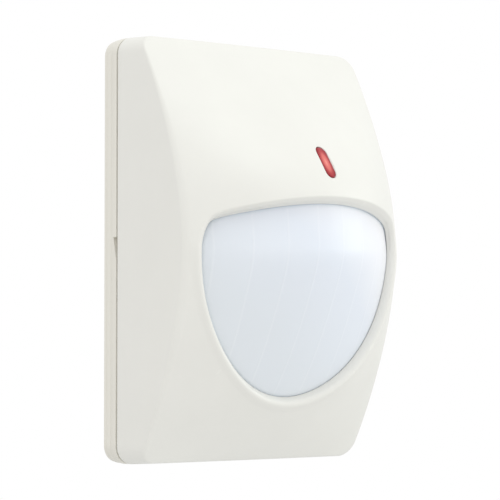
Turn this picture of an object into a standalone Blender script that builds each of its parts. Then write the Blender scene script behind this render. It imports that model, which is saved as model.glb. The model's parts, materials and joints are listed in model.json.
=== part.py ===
"""Wall-mounted passive infrared motion sensor, about 100 mm tall.

Frame: +Z up, the front faces -Y, and the origin is the centre of the rear face that lies on the wall.
"Depth" is the distance from the wall, so a point at depth d has Y = -d. The wall, cover, lens and
indicator slot follow one pair of profiles, edge_depth and centre_depth. All lengths are in metres.
"""

import math

import bmesh
import bpy
from mathutils import Matrix, Vector

MM = 0.001

# Clearances
FIT_GAP = 0.3 * MM           # between separate mouldings
SEAT_GAP = 0.2 * MM          # between the board and what is soldered on it
LENS_GAP = 0.4 * MM          # between the cover's front wall and the lens's flange
PARTING_GAP = 0.35 * MM      # visible line between base and cover

# Outer shape
WIDTH = 66.6 * MM
HEIGHT = 100.0 * MM
HALF_WIDTH = WIDTH / 2
HALF_HEIGHT = HEIGHT / 2
CORNER_RADIUS = 4.2 * MM
SIDE_DRAFT = 0.4 * MM        # how far the cover's side walls lean in towards the front
BASE_DEPTH = 5.35 * MM
EDGE_DEPTH_MIDDLE = 30.0 * MM    # side edge of the front, half-way up
EDGE_DEPTH_END = 13.4 * MM       # side edge of the front, at the top and bottom
EDGE_POWER = 1.72
CENTRE_DEPTH_MIDDLE = 46.4 * MM  # centre line of the front, half-way up
CENTRE_DEPTH_END = 13.9 * MM
NOSE_SHARE = 0.36                # share of the half height over which the centre line turns over
CHIN_SLOPE = 0.65                # share of the lower half's drop that is a straight slope
CHIN_POWER = 3.6
CHIN_ROUNDING = 0.08
CREASE_RADIUS_END = 0.9 * MM
CREASE_RADIUS_MIDDLE = 2.2 * MM
CREASE_STEPS = 4

# Cover walls
SIDE_WALL = 1.8 * MM
FRONT_WALL = 2.6 * MM
INNER_CREASE_RADIUS = 0.5 * MM

# Lens opening: a flat-topped drop, widest near the middle of the body
OPENING_SIDE_RIM = 4.8 * MM      # from the body's side to the opening at its widest
OPENING_TIP = -0.688 * HALF_HEIGHT
OPENING_TOP = 0.2 * HALF_HEIGHT  # height of the top edge on the centre line
OPENING_WIDEST = -0.012 * HALF_HEIGHT
TOP_ARC_RADIUS = 78.0 * MM
SHOULDER_HEIGHT = 0.38 * HALF_HEIGHT   # half height of the ellipse that rounds the upper sides
TIP_POWER = 1.96
SHOULDER_POWER = 40              # how tightly the top arc turns into the sides
RIM_BEVEL = 1.3 * MM
BROW_BEVEL = 0.4 * MM            # extra bevel along the top
RIM_LAND = 0.3 * MM

# Lens, lens frame and indicator window
LENS_WALL = 0.8 * MM
LENS_FLANGE = 1.5 * MM
LENS_FRAME_WALL = 1.2 * MM
LENS_FRAME_WIDTH = 3.2 * MM
WINDOW_WIDTH = 2.4 * MM
WINDOW_LENGTH = 6.9 * MM
WINDOW_HEIGHT = 0.398 * HALF_HEIGHT
WINDOW_FLANGE = 1.0 * MM
WINDOW_RECESS = 0.15 * MM
POST_PAST = 0.5 * MM             # the tamper post's spare length beyond the board's travel, each way

# Base
BACK_WALL = 2.0 * MM
TONGUE_WALL = 1.2 * MM
TONGUE_RISE = 2.6 * MM           # how far the tongue stands into the cover
BACK_ROUND = 0.4 * MM
BACK_STEP = 0.15 * MM
STEP_DEPTHS = (1.2 * MM, 3.1 * MM)   # where the rim's side steps out, going forward
NOTCH_HALF_LENGTH = 2.8 * MM
NOTCH_HEIGHT = 0.15 * MM
NOTCH_DEPTH = 1.3 * MM
NOTCH_REACH = 1.1 * MM
WALL_HOLE_DIAMETER = 4.5 * MM
WALL_HOLE_INSET = 13.0 * MM      # from the body's side
WALL_HOLE_MARGIN = 8.0 * MM      # from the body's top and bottom
CABLE_HOLE_DIAMETER = 8.0 * MM
CABLE_HOLE_MARGIN = 9.5 * MM
GROMMET_BORE = 6.0 * MM
GROMMET_FLANGE = 1.3 * MM
GROMMET_FLANGE_WALL = 0.9 * MM
RAIL_WIDTH = 2.0 * MM
RAIL_INSET = 4.5 * MM
GUIDE_WALL = 1.2 * MM
GUIDE_RISE = 1.0 * MM
RAIL_END_GAP = 5.0 * MM          # from the board's top and bottom to the rails' ends
BOSS_DIAMETER = 6.2 * MM

# Circuit board
BOARD_DEPTH = 5.5 * MM           # back of the board
BOARD_WALL = 1.6 * MM
BOARD_TOP = 0.68 * HALF_HEIGHT
BOARD_BOTTOM = -0.72 * HALF_HEIGHT
BOARD_TRAVEL = 3.0 * MM          # each way, to aim the detection zones
SLOT_END_GAP = 0.9 * MM          # from the screw to the slot's end at the end of the travel
SCREW_SHAFT = 2.4 * MM
SCREW_HEAD = 5.4 * MM
SCREW_HEAD_WALL = 1.8 * MM
SCREW_LENGTH = 4.6 * MM
SCREW_HEIGHT = 0.56 * HALF_HEIGHT
SCREW_SLOT = 0.7 * MM

# Parts on the board
CAN_DIAMETER = 8.2 * MM
CAN_FLANGE_DIAMETER = 9.2 * MM
CAN_HEIGHT = 4.2 * MM
CAN_FLANGE_WALL = 0.6 * MM
CAN_CHAMFER = 0.5 * MM
SPACER_HEIGHT = 2.6 * MM
FILTER_WIDTH = 4.0 * MM
FILTER_HEIGHT = 3.0 * MM
FILTER_WALL = 0.5 * MM
SHROUD_SIDE = 13.0 * MM
SHROUD_RISE = 6.4 * MM
LED_DIAMETER = 3.0 * MM
LED_RISE = 5.3 * MM
LED_FLANGE = 0.4 * MM
LED_FLANGE_WALL = 1.0 * MM
COLUMN_INSET = 7.3 * MM          # from the board's side to the middle of its left and right columns
INNER_COLUMN_GAP = 9.5 * MM      # from an outer column to the small parts beside it
TERMINALS = 6
TERMINAL_PITCH = 5.0 * MM
TERMINAL_BLOCK_HEIGHT = 8.0 * MM
TERMINAL_BLOCK_RISE = 9.2 * MM
TERMINAL_BLOCK_MARGIN = 1.0 * MM # from the board's bottom
TERMINAL_SCREW_DIAMETER = 3.4 * MM
TERMINAL_SCREW_WALL = 1.8 * MM
ENTRY_SIDE = 3.4 * MM
ENTRY_DEPTH = 2.5 * MM
ENTRY_RISE = 1.2 * MM
TAMPER_SIDE = 6.4 * MM
TAMPER_RISE = 4.2 * MM
PLUNGER_DIAMETER = 3.0 * MM
PLUNGER_RISE = 9.0 * MM
PLUNGER_TRAVEL = 1.2 * MM
PLUNGER_SUNK = 1.0 * MM          # length of the plunger inside the switch
SWITCHES = 3
SWITCH_PITCH = 2.54 * MM
SWITCH_BODY_HEIGHT = 7.0 * MM
SWITCH_SIDE_WALL = 0.5 * MM
SWITCH_RISE = 3.4 * MM
SWITCH_HEIGHT = -0.24 * HALF_HEIGHT
SLIDER_WIDTH = 1.1 * MM
SLIDER_HEIGHT = 1.4 * MM
SLIDER_SUNK = 1.0 * MM
SLIDER_PROUD = 0.6 * MM
SLIDER_TRAVEL = 1.4 * MM
TRIMMER_SIDE = 7.0 * MM
TRIMMER_RISE = 4.6 * MM
TRIMMER_HEIGHT = 0.12 * HALF_HEIGHT
ROTOR_DIAMETER = 4.0 * MM
ROTOR_RISE = 1.1 * MM
CAPACITOR_GROOVE = 0.25 * MM
CAPACITOR_GROOVE_RISES = (1.2 * MM, 1.6 * MM, 2.0 * MM)
PACKAGE_BEVEL = 0.25 * MM

# Worked out from the above
COVER_REAR = BASE_DEPTH + PARTING_GAP
OPENING_HALF_WIDTH = HALF_WIDTH - OPENING_SIDE_RIM
OPENING_DROP = OPENING_WIDEST - OPENING_TIP
LENS_DEPTH_LOSS = FRONT_WALL + LENS_GAP
FRAME_DEPTH_LOSS = LENS_DEPTH_LOSS + LENS_WALL + FIT_GAP
TONGUE_INSET = SIDE_WALL + FIT_GAP
TONGUE_DEPTH = COVER_REAR + TONGUE_RISE
TRAY_INSET = TONGUE_INSET + TONGUE_WALL
GUIDE_INSET = TRAY_INSET + 2 * FIT_GAP
BOARD_HALF_WIDTH = HALF_WIDTH - GUIDE_INSET - GUIDE_WALL - FIT_GAP
BOARD_MIDDLE = (BOARD_TOP + BOARD_BOTTOM) / 2
BOARD_FRONT = BOARD_DEPTH + BOARD_WALL
SEAT_DEPTH = BOARD_FRONT + SEAT_GAP
CABLE_HOLE_HEIGHT = -HALF_HEIGHT + CABLE_HOLE_MARGIN
LEFT_COLUMN = -(BOARD_HALF_WIDTH - COLUMN_INSET)
RIGHT_COLUMN = BOARD_HALF_WIDTH - COLUMN_INSET
TERMINAL_HEIGHT = BOARD_BOTTOM + TERMINAL_BLOCK_MARGIN + TERMINAL_BLOCK_HEIGHT / 2
PROCESSOR_HEIGHT = (TERMINAL_HEIGHT + TERMINAL_BLOCK_HEIGHT / 2 - SHROUD_SIDE / 2) / 2
PLUNGER_DEPTH = SEAT_DEPTH + PLUNGER_RISE

parts = None
cutters = None


def point(x, z, depth):
    return Vector((x, -depth, z))


# ---------------------------------------------------------------- scene and objects

def clear_scene():
    for old in list(bpy.data.objects):
        bpy.data.objects.remove(old, do_unlink=True)


def new_collection(name):
    found = bpy.data.collections.new(name)
    bpy.context.scene.collection.children.link(found)
    return found


def material(name, color, roughness, metallic=0.0, alpha=1.0):
    found = bpy.data.materials.new(name)
    found.use_nodes = True
    shader = found.node_tree.nodes["Principled BSDF"]
    shader.inputs["Base Color"].default_value = (*color, 1.0)
    shader.inputs["Roughness"].default_value = roughness
    shader.inputs["Metallic"].default_value = metallic
    shader.inputs["Alpha"].default_value = alpha
    return found


def finish_object(name, mesh_builder, look):
    """A visible part made from a bmesh."""
    mesh = bpy.data.meshes.new(name)
    bmesh.ops.remove_doubles(mesh_builder, verts=mesh_builder.verts, dist=0.001 * MM)
    bmesh.ops.recalc_face_normals(mesh_builder, faces=mesh_builder.faces)
    mesh_builder.to_mesh(mesh)
    mesh_builder.free()
    mesh.shade_smooth()
    mesh.set_sharp_from_angle(angle=math.radians(32))
    obj = bpy.data.objects.new(name, mesh)
    if look is None:
        obj.hide_render = True
        obj.display_type = "WIRE"
        cutters.objects.link(obj)
    else:
        mesh.materials.append(look)
        parts.objects.link(obj)
    return obj


def boolean(target, tool, operation):
    modifier = target.modifiers.new(operation.title() + " " + tool.name, "BOOLEAN")
    modifier.operation = operation
    modifier.solver = "EXACT"
    modifier.object = tool


def cut(target, *tools):
    for tool in tools:
        boolean(target, tool, "DIFFERENCE")


def join(target, *tools):
    for tool in tools:
        boolean(target, tool, "UNION")


def place(obj, x, z, depth):
    obj.location = point(x, z, depth)
    return obj


# ---------------------------------------------------------------- simple solids

def box(name, size_x, size_z, rise, look, bevel=0.0):
    """A box that stands on its own origin and rises towards the front."""
    bm = bmesh.new()
    bmesh.ops.create_cube(bm, size=1.0)
    bmesh.ops.scale(bm, vec=(size_x, rise, size_z), verts=bm.verts)
    bmesh.ops.translate(bm, vec=(0, -rise / 2, 0), verts=bm.verts)
    obj = finish_object(name, bm, look)
    if bevel:
        modifier = obj.modifiers.new("Bevel", "BEVEL")
        modifier.width = bevel
        modifier.segments = 1
    return obj


def cylinder(name, diameter, rise, look, sides=20):
    """A cylinder that stands on its own origin and rises towards the front."""
    bm = bmesh.new()
    turn = Matrix.Rotation(math.radians(90), 4, "X")
    centre = Matrix.Translation((0, -rise / 2, 0))
    bmesh.ops.create_cone(
        bm, cap_ends=True, segments=sides, radius1=diameter / 2, radius2=diameter / 2,
        depth=rise, matrix=centre @ turn,
    )
    return finish_object(name, bm, look)


def turned(name, profile, look, steps=20):
    """A turned part: profile lists (radius, rise) from the front to the rear, and the axis is -Y."""
    bm = bmesh.new()
    verts = [bm.verts.new((radius, -rise, 0)) for radius, rise in profile]
    for first, second in zip(verts, verts[1:]):
        bm.edges.new((first, second))
    bmesh.ops.remove_doubles(bm, verts=bm.verts, dist=0.001 * MM)
    mesh = bpy.data.meshes.new(name)
    bm.to_mesh(mesh)
    bm.free()
    obj = bpy.data.objects.new(name, mesh)
    mesh.materials.append(look)
    parts.objects.link(obj)
    screw = obj.modifiers.new("Screw", "SCREW")
    screw.axis = "Y"
    screw.steps = steps
    screw.render_steps = steps
    screw.use_merge_vertices = True
    screw.merge_threshold = 0.001 * MM
    screw.use_smooth_shade = True
    screw.use_normal_flip = True
    return obj


def slotted_screw(name, diameter, head_rise, shaft_diameter, shaft_length, look):
    """A screw whose head's underside is at its origin, with the slot along X."""
    if shaft_length:
        profile = [
            (0, head_rise), (diameter / 2, head_rise), (diameter / 2, 0),
            (shaft_diameter / 2, 0), (shaft_diameter / 2, -shaft_length), (0, -shaft_length),
        ]
        screw = turned(name, profile, look)
    else:
        screw = cylinder(name, diameter, head_rise, look, 16)
    slot = box("Cut " + name + " slot", diameter * 1.2, SCREW_SLOT, head_rise, None)
    slot.parent = screw
    slot.location = (0, -head_rise * 0.55, 0)
    cut(screw, slot)
    return screw


# ---------------------------------------------------------------- lofted solids

def loft(bm, rings):
    """Joins equal-length rings of points, and closes the first and last with a fan."""
    rows = [[bm.verts.new(p) for p in ring] for ring in rings]
    for near, far in zip(rows, rows[1:]):
        for i in range(len(near)):
            j = (i + 1) % len(near)
            bm.faces.new((near[i], near[j], far[j], far[i]))
    for row in (rows[0], rows[-1]):
        middle = sum((v.co for v in row), Vector()) / len(row)
        centre = bm.verts.new(middle)
        for i in range(len(row)):
            bm.faces.new((row[i], row[(i + 1) % len(row)], centre))


def ring_loft(bm, rings):
    """Joins equal-length rings into a closed tube: the last ring meets the first."""
    rows = [[bm.verts.new(p) for p in ring] for ring in rings]
    for k in range(len(rows)):
        near = rows[k]
        far = rows[(k + 1) % len(rows)]
        for i in range(len(near)):
            j = (i + 1) % len(near)
            bm.faces.new((near[i], near[j], far[j], far[i]))


def rounded_outline(half_x, half_z, radius, side_steps, end_steps, corner_steps):
    """Points (x, z) round a rectangle with round corners, from the top right corner clockwise."""
    found = []
    corners = (
        (1, 1, side_steps),
        (1, -1, end_steps),
        (-1, -1, side_steps),
        (-1, 1, end_steps),
    )
    for index, (sx, sz, steps) in enumerate(corners):
        middle = Vector((sx * (half_x - radius), sz * (half_z - radius)))
        for k in range(corner_steps + 1):
            angle = math.radians(90 * index + 90 * k / corner_steps)
            found.append(middle + radius * Vector((math.sin(angle), math.cos(angle))))
        next_sx, next_sz, _ = corners[(index + 1) % 4]
        angle = math.radians(90 * (index + 1))
        next_middle = Vector((next_sx * (half_x - radius), next_sz * (half_z - radius)))
        start = found[-1]
        end = next_middle + radius * Vector((math.sin(angle), math.cos(angle)))
        for k in range(1, steps):
            found.append(start.lerp(end, k / steps))
    return found


def stadium(width, length, steps=6):
    """Points (x, z) round an upright slot."""
    radius = width / 2
    half = length / 2 - radius
    found = []
    for sign, start in ((1, -90), (-1, 90)):
        for k in range(steps + 1):
            angle = math.radians(start + 180 * k / steps)
            found.append((radius * math.sin(angle), sign * half + radius * math.cos(angle)))
    return found


# ---------------------------------------------------------------- the front's shape

def edge_depth(z):
    share = min(abs(z) / HALF_HEIGHT, 1.0)
    return EDGE_DEPTH_MIDDLE - (EDGE_DEPTH_MIDDLE - EDGE_DEPTH_END) * share ** EDGE_POWER


def nose_drop(share):
    return (share ** 4 + NOSE_SHARE ** 4) ** 0.25 - NOSE_SHARE


def chin_drop(share):
    slope = math.sqrt(share ** 2 + CHIN_ROUNDING ** 2) - CHIN_ROUNDING
    return CHIN_SLOPE * slope + (1 - CHIN_SLOPE) * share ** CHIN_POWER


def centre_depth(z):
    """The centre line: a round nose above the middle, and a straighter slope below it."""
    share = min(abs(z) / HALF_HEIGHT, 1.0)
    drop_of = nose_drop if z > 0 else chin_drop
    drop = CENTRE_DEPTH_MIDDLE - CENTRE_DEPTH_END
    return CENTRE_DEPTH_MIDDLE - drop * drop_of(share) / drop_of(1.0)


def front_depth(x, z):
    """The front surface: level with the side edges at the sides, bulging to the centre line."""
    share = min(abs(x) / HALF_WIDTH, 1.0)
    side = edge_depth(z)
    return side + (centre_depth(z) - side) * (1 - share ** 2)


def crease_radius(z):
    share = min(abs(z) / HALF_HEIGHT, 1.0)
    return CREASE_RADIUS_END + (CREASE_RADIUS_MIDDLE - CREASE_RADIUS_END) * (1 - share ** 2) ** 2


def body_outline(inset, side_steps=24, end_steps=12, corner_steps=4):
    return rounded_outline(
        HALF_WIDTH - inset, HALF_HEIGHT - inset, max(CORNER_RADIUS - inset, 0.4 * MM),
        side_steps, end_steps, corner_steps,
    )


def skin_rings(wall, front_wall, radius_of, fractions):
    """Rings of one skin of the cover, from its rear edge over the crease to near the centre."""
    rings = [[point(x, z, COVER_REAR) for x, z in body_outline(wall)]]
    for k in range(CREASE_STEPS + 1):
        angle = math.radians(90 * k / CREASE_STEPS)
        ring = []
        for x, z in body_outline(wall + SIDE_DRAFT):
            inward = radius_of(z) * (1 - math.cos(angle))
            px = x * (1 - inward / (HALF_WIDTH - wall))
            pz = z * (1 - inward / (HALF_HEIGHT - wall))
            drop = radius_of(z) * (1 - math.sin(angle))
            ring.append(point(px, pz, front_depth(px, pz) - front_wall - drop))
        rings.append(ring)
    last = rings[-1]
    for fraction in fractions:
        ring = []
        for p in last:
            px = p.x * fraction
            pz = p.z * fraction
            ring.append(point(px, pz, front_depth(px, pz) - front_wall))
        rings.append(ring)
    return rings


# ---------------------------------------------------------------- the lens opening's shape

def opening_radius(angle):
    """Distance from the widest level's centre to the opening's edge; angle 0 is up."""
    across = abs(math.sin(angle))
    along = math.cos(angle)
    if along < 0:
        tip = (-along / OPENING_DROP) ** TIP_POWER
        side = ((across / OPENING_HALF_WIDTH) ** TIP_POWER + tip) ** (-1 / TIP_POWER)
    else:
        side = ((across / OPENING_HALF_WIDTH) ** 2 + (along / SHOULDER_HEIGHT) ** 2) ** -0.5
    rise = OPENING_TOP - OPENING_WIDEST
    root = math.sqrt(along ** 2 + 2 * rise * across ** 2 / TOP_ARC_RADIUS)
    top = 2 * rise / (along + root) if along + root > 1e-6 else 1.0
    return (side ** -SHOULDER_POWER + top ** -SHOULDER_POWER) ** (-1 / SHOULDER_POWER)


def opening_point(angle):
    radius = opening_radius(angle)
    return Vector((radius * math.sin(angle), OPENING_WIDEST + radius * math.cos(angle)))


def opening_outline(grow=0.0, brow=0.0, count=72):
    """Points (x, z) round the opening, moved out by grow, and by brow more along the top."""
    found = []
    small = 0.001
    for k in range(count):
        angle = 2 * math.pi * k / count
        here = opening_point(angle)
        along = opening_point(angle + small) - opening_point(angle - small)
        out = Vector((-along.y, along.x)).normalized()
        if out.dot(here - Vector((0, OPENING_WIDEST))) < 0:
            out = -out
        extra = brow * max(0.0, out.y) ** 2
        found.append(tuple(here + out * (grow + extra)))
    return found


def on_skin(outline, loss):
    return [point(x, z, front_depth(x, z) - loss) for x, z in outline]


def shrunk(outline, fraction):
    return [(x * fraction, OPENING_WIDEST + (z - OPENING_WIDEST) * fraction) for x, z in outline]


# ---------------------------------------------------------------- cover, lens and what they carry

def make_opening_cutter():
    bm = bmesh.new()
    inner = opening_outline()
    outer = opening_outline(RIM_BEVEL, BROW_BEVEL)
    lip = FRONT_WALL - RIM_LAND
    past = 0.3
    beyond = opening_outline(RIM_BEVEL * (1 + past), BROW_BEVEL * (1 + past))
    rings = [
        on_skin(inner, FRONT_WALL + 3 * MM),
        on_skin(inner, lip),
        on_skin(outer, 0),
        on_skin(beyond, -lip * past),
        [point(x, z, CENTRE_DEPTH_MIDDLE + 8 * MM) for x, z in beyond],
    ]
    loft(bm, rings)
    return finish_object("Cut lens opening", bm, None)


def make_slot_cutter():
    bm = bmesh.new()
    outline = stadium(WINDOW_WIDTH + 2 * FIT_GAP, WINDOW_LENGTH + 2 * FIT_GAP)
    outline = [(x, z + WINDOW_HEIGHT) for x, z in outline]
    loft(bm, [on_skin(outline, FRONT_WALL + 1.5 * MM), on_skin(outline, -3 * MM)])
    return finish_object("Cut indicator slot", bm, None)


def make_tamper_post():
    """The rib inside the cover that holds the tamper plunger down, long enough for the board's travel."""
    bm = bmesh.new()
    length = PLUNGER_DIAMETER + 2 * (BOARD_TRAVEL + POST_PAST)
    outline = stadium(PLUNGER_DIAMETER, length)
    outline = [(x + LEFT_COLUMN, z + SCREW_HEIGHT) for x, z in outline]
    rear = [point(x, z, PLUNGER_DEPTH + FIT_GAP) for x, z in outline]
    loft(bm, [rear, on_skin(outline, FRONT_WALL / 2)])
    return finish_object("Join tamper post", bm, None)


def make_cover(look):
    bm = bmesh.new()
    fractions = [0.93 - 0.07 * k for k in range(13)]
    outer = skin_rings(0.0, 0.0, crease_radius, fractions)
    inner = skin_rings(SIDE_WALL, FRONT_WALL, lambda z: INNER_CREASE_RADIUS, fractions)
    loft(bm, inner[::-1] + outer)
    cover = finish_object("front_cover", bm, look)
    join(cover, make_tamper_post())
    cut(cover, make_opening_cutter(), make_slot_cutter())
    return cover


def make_lens(look):
    bm = bmesh.new()
    edge = opening_outline(LENS_FLANGE)
    fractions = (1.0, 0.9, 0.76, 0.6, 0.42, 0.22)
    front = [on_skin(shrunk(edge, f), LENS_DEPTH_LOSS) for f in fractions]
    back = [on_skin(shrunk(edge, f), LENS_DEPTH_LOSS + LENS_WALL) for f in fractions]
    loft(bm, back[::-1] + front)
    return finish_object("fresnel_lens", bm, look)


def make_lens_frame(look):
    bm = bmesh.new()
    outer = opening_outline(LENS_FLANGE)
    inner = opening_outline(LENS_FLANGE - LENS_FRAME_WIDTH)
    rings = [
        on_skin(outer, FRAME_DEPTH_LOSS),
        on_skin(outer, FRAME_DEPTH_LOSS + LENS_FRAME_WALL),
        on_skin(inner, FRAME_DEPTH_LOSS + LENS_FRAME_WALL),
        on_skin(inner, FRAME_DEPTH_LOSS),
    ]
    ring_loft(bm, rings)
    return finish_object("lens_frame", bm, look)


def make_light_guide(look):
    """Red bar that carries the indicator's light from above the board to the slot in the cover."""
    bm = bmesh.new()
    rod = [(x, z + WINDOW_HEIGHT) for x, z in stadium(WINDOW_WIDTH, WINDOW_LENGTH)]
    grown = stadium(WINDOW_WIDTH + 2 * WINDOW_FLANGE, WINDOW_LENGTH + 2 * WINDOW_FLANGE)
    collar = [(x, z + WINDOW_HEIGHT) for x, z in grown]
    rear = SEAT_DEPTH + LED_RISE + 3 * FIT_GAP
    loss = FRONT_WALL + FIT_GAP
    rings = [
        [point(x, z, rear) for x, z in rod],
        on_skin(rod, loss + WINDOW_FLANGE),
        on_skin(collar, loss + WINDOW_FLANGE),
        on_skin(collar, loss),
        on_skin(rod, loss),
        on_skin(rod, WINDOW_RECESS),
    ]
    loft(bm, rings)
    return finish_object("led_light_guide", bm, look)


# ---------------------------------------------------------------- base

def make_notch_cutter(side):
    """Wedge for a screwdriver in the rim, deepest at its upper end."""
    bm = bmesh.new()
    low = NOTCH_HEIGHT - NOTCH_HALF_LENGTH
    high = NOTCH_HEIGHT + NOTCH_HALF_LENGTH
    past = 0.5 * MM
    profile = (
        (low, BASE_DEPTH + past),
        (low, BASE_DEPTH - 0.1 * MM),
        (high, BASE_DEPTH - NOTCH_DEPTH),
        (high, BASE_DEPTH + past),
    )
    near = side * (HALF_WIDTH - NOTCH_REACH)
    far = side * (HALF_WIDTH + 1 * MM)
    loft(bm, [[point(x, z, depth) for z, depth in profile] for x in (near, far)])
    return finish_object("Cut notch " + ("right" if side > 0 else "left"), bm, None)


def make_base(look):
    bm = bmesh.new()
    low_step, high_step = STEP_DEPTHS
    steps = (
        (2 * BACK_STEP + BACK_ROUND, 0),
        (2 * BACK_STEP, BACK_ROUND),
        (2 * BACK_STEP, low_step),
        (BACK_STEP, low_step + BACK_STEP),
        (BACK_STEP, high_step),
        (0, high_step + BACK_STEP),
        (0, BASE_DEPTH),
        (TONGUE_INSET, BASE_DEPTH),
        (TONGUE_INSET, TONGUE_DEPTH),
        (TRAY_INSET, TONGUE_DEPTH),
        (TRAY_INSET, BACK_WALL),
    )
    rings = []
    for inset, depth in steps:
        rings.append([point(x, z, depth) for x, z in body_outline(inset, 1, 1, 6)])
    loft(bm, rings)
    base = finish_object("rear_base", bm, look)

    add_board_supports(base)
    cut_base_holes(base)
    return base


def add_board_supports(base):
    """Rails and a boss behind the board, and guides beside it."""
    root = BACK_WALL / 2
    rise = BOARD_DEPTH - FIT_GAP - root
    guide_rise = BOARD_FRONT + GUIDE_RISE - root
    length = BOARD_TOP - BOARD_BOTTOM - 2 * RAIL_END_GAP
    for side in (-1, 1):
        rail = box(f"Join rail {side}", RAIL_WIDTH, length, rise, None)
        place(rail, side * (BOARD_HALF_WIDTH - RAIL_INSET), BOARD_MIDDLE, root)
        guide = box(f"Join guide {side}", GUIDE_WALL, length, guide_rise, None)
        place(guide, side * (BOARD_HALF_WIDTH + FIT_GAP + GUIDE_WALL / 2), BOARD_MIDDLE, root)
        join(base, rail, guide)
    boss = cylinder("Join board boss", BOSS_DIAMETER, rise, None)
    join(base, place(boss, 0, SCREW_HEIGHT, root))
    bore = cylinder("Cut board boss", SCREW_SHAFT + 2 * FIT_GAP, BOARD_DEPTH, None)
    cut(base, place(bore, 0, SCREW_HEIGHT, BACK_WALL))


def cut_base_holes(base):
    """Four wall screw holes, the two notches and the cable hole."""
    through = 3 * BACK_WALL
    for side in (-1, 1):
        for end in (-1, 1):
            hole = cylinder(f"Cut wall hole {side} {end}", WALL_HOLE_DIAMETER, through, None)
            x = side * (HALF_WIDTH - WALL_HOLE_INSET)
            z = end * (HALF_HEIGHT - WALL_HOLE_MARGIN)
            cut(base, place(hole, x, z, -BACK_WALL))
        cut(base, make_notch_cutter(side))
    cable = cylinder("Cut cable hole", CABLE_HOLE_DIAMETER, through, None, 24)
    cut(base, place(cable, 0, CABLE_HOLE_HEIGHT, -BACK_WALL))


def make_grommet(look):
    outer = CABLE_HOLE_DIAMETER / 2 - FIT_GAP
    bore = GROMMET_BORE / 2
    seat = BACK_WALL + FIT_GAP
    front = seat + GROMMET_FLANGE_WALL
    rear = SEAT_GAP
    rim = CABLE_HOLE_DIAMETER / 2 + GROMMET_FLANGE
    profile = [
        (bore, front), (rim, front), (rim, seat), (outer, seat), (outer, rear), (bore, rear),
        (bore, front),
    ]
    grommet = turned("cable_grommet", profile, look, 24)
    return place(grommet, 0, CABLE_HOLE_HEIGHT, 0)


# ---------------------------------------------------------------- board and what it carries

def make_board(look):
    height = BOARD_TOP - BOARD_BOTTOM
    board = box("circuit_board", 2 * BOARD_HALF_WIDTH, height, BOARD_WALL, look)
    place(board, 0, BOARD_MIDDLE, BOARD_DEPTH)
    bm = bmesh.new()
    slot = stadium(SCREW_SHAFT + 2 * FIT_GAP, SCREW_SHAFT + 2 * (BOARD_TRAVEL + SLOT_END_GAP))
    ends = (BOARD_DEPTH - MM, BOARD_FRONT + MM)
    loft(bm, [[point(x, z + SCREW_HEIGHT, depth) for x, z in slot] for depth in ends])
    cut(board, finish_object("Cut board slot", bm, None))
    return board


def make_board_screw(look):
    screw = slotted_screw("board_screw", SCREW_HEAD, SCREW_HEAD_WALL, SCREW_SHAFT, SCREW_LENGTH, look)
    return place(screw, 0, SCREW_HEIGHT, BOARD_FRONT + FIT_GAP)


def make_sensor(steel, black, filter_look, white):
    spacer = cylinder("sensor_spacer", CAN_FLANGE_DIAMETER, SPACER_HEIGHT, black, 20)
    place(spacer, 0, 0, SEAT_DEPTH)
    seat = SEAT_DEPTH + SPACER_HEIGHT + SEAT_GAP
    radius = CAN_DIAMETER / 2
    flange_radius = CAN_FLANGE_DIAMETER / 2
    profile = [
        (0, CAN_HEIGHT), (radius - CAN_CHAMFER, CAN_HEIGHT), (radius, CAN_HEIGHT - CAN_CHAMFER),
        (radius, CAN_FLANGE_WALL), (flange_radius, CAN_FLANGE_WALL), (flange_radius, 0), (0, 0),
    ]
    can = place(turned("pyro_sensor_can", profile, steel, 28), 0, 0, seat)
    pocket_width = FILTER_WIDTH + 2 * SEAT_GAP
    pocket_height = FILTER_HEIGHT + 2 * SEAT_GAP
    pocket = box("Cut filter pocket", pocket_width, pocket_height, FILTER_WALL * 3, None)
    cut(can, place(pocket, 0, 0, seat + CAN_HEIGHT - FILTER_WALL - SEAT_GAP))
    window = box("pyro_filter_window", FILTER_WIDTH, FILTER_HEIGHT, FILTER_WALL, filter_look)
    place(window, 0, 0, seat + CAN_HEIGHT - FILTER_WALL)
    shroud = box("sensor_shroud", SHROUD_SIDE, SHROUD_SIDE, SHROUD_RISE, white)
    place(shroud, 0, 0, SEAT_DEPTH)
    bore_diameter = CAN_FLANGE_DIAMETER + 2 * FIT_GAP
    bore = cylinder("Cut shroud bore", bore_diameter, SHROUD_RISE + 2 * MM, None, 28)
    cut(shroud, place(bore, 0, 0, SEAT_DEPTH - MM))


def make_indicator(look):
    radius = LED_DIAMETER / 2
    straight = LED_RISE - radius
    profile = []
    for angle in range(0, 91, 18):
        turn = math.radians(angle)
        profile.append((radius * math.sin(turn), straight + radius * math.cos(turn)))
    rim = radius + LED_FLANGE
    profile += [(radius, LED_FLANGE_WALL), (rim, LED_FLANGE_WALL), (rim, 0), (0, 0)]
    return place(turned("indicator_led", profile, look, 16), 0, WINDOW_HEIGHT, SEAT_DEPTH)


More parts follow.
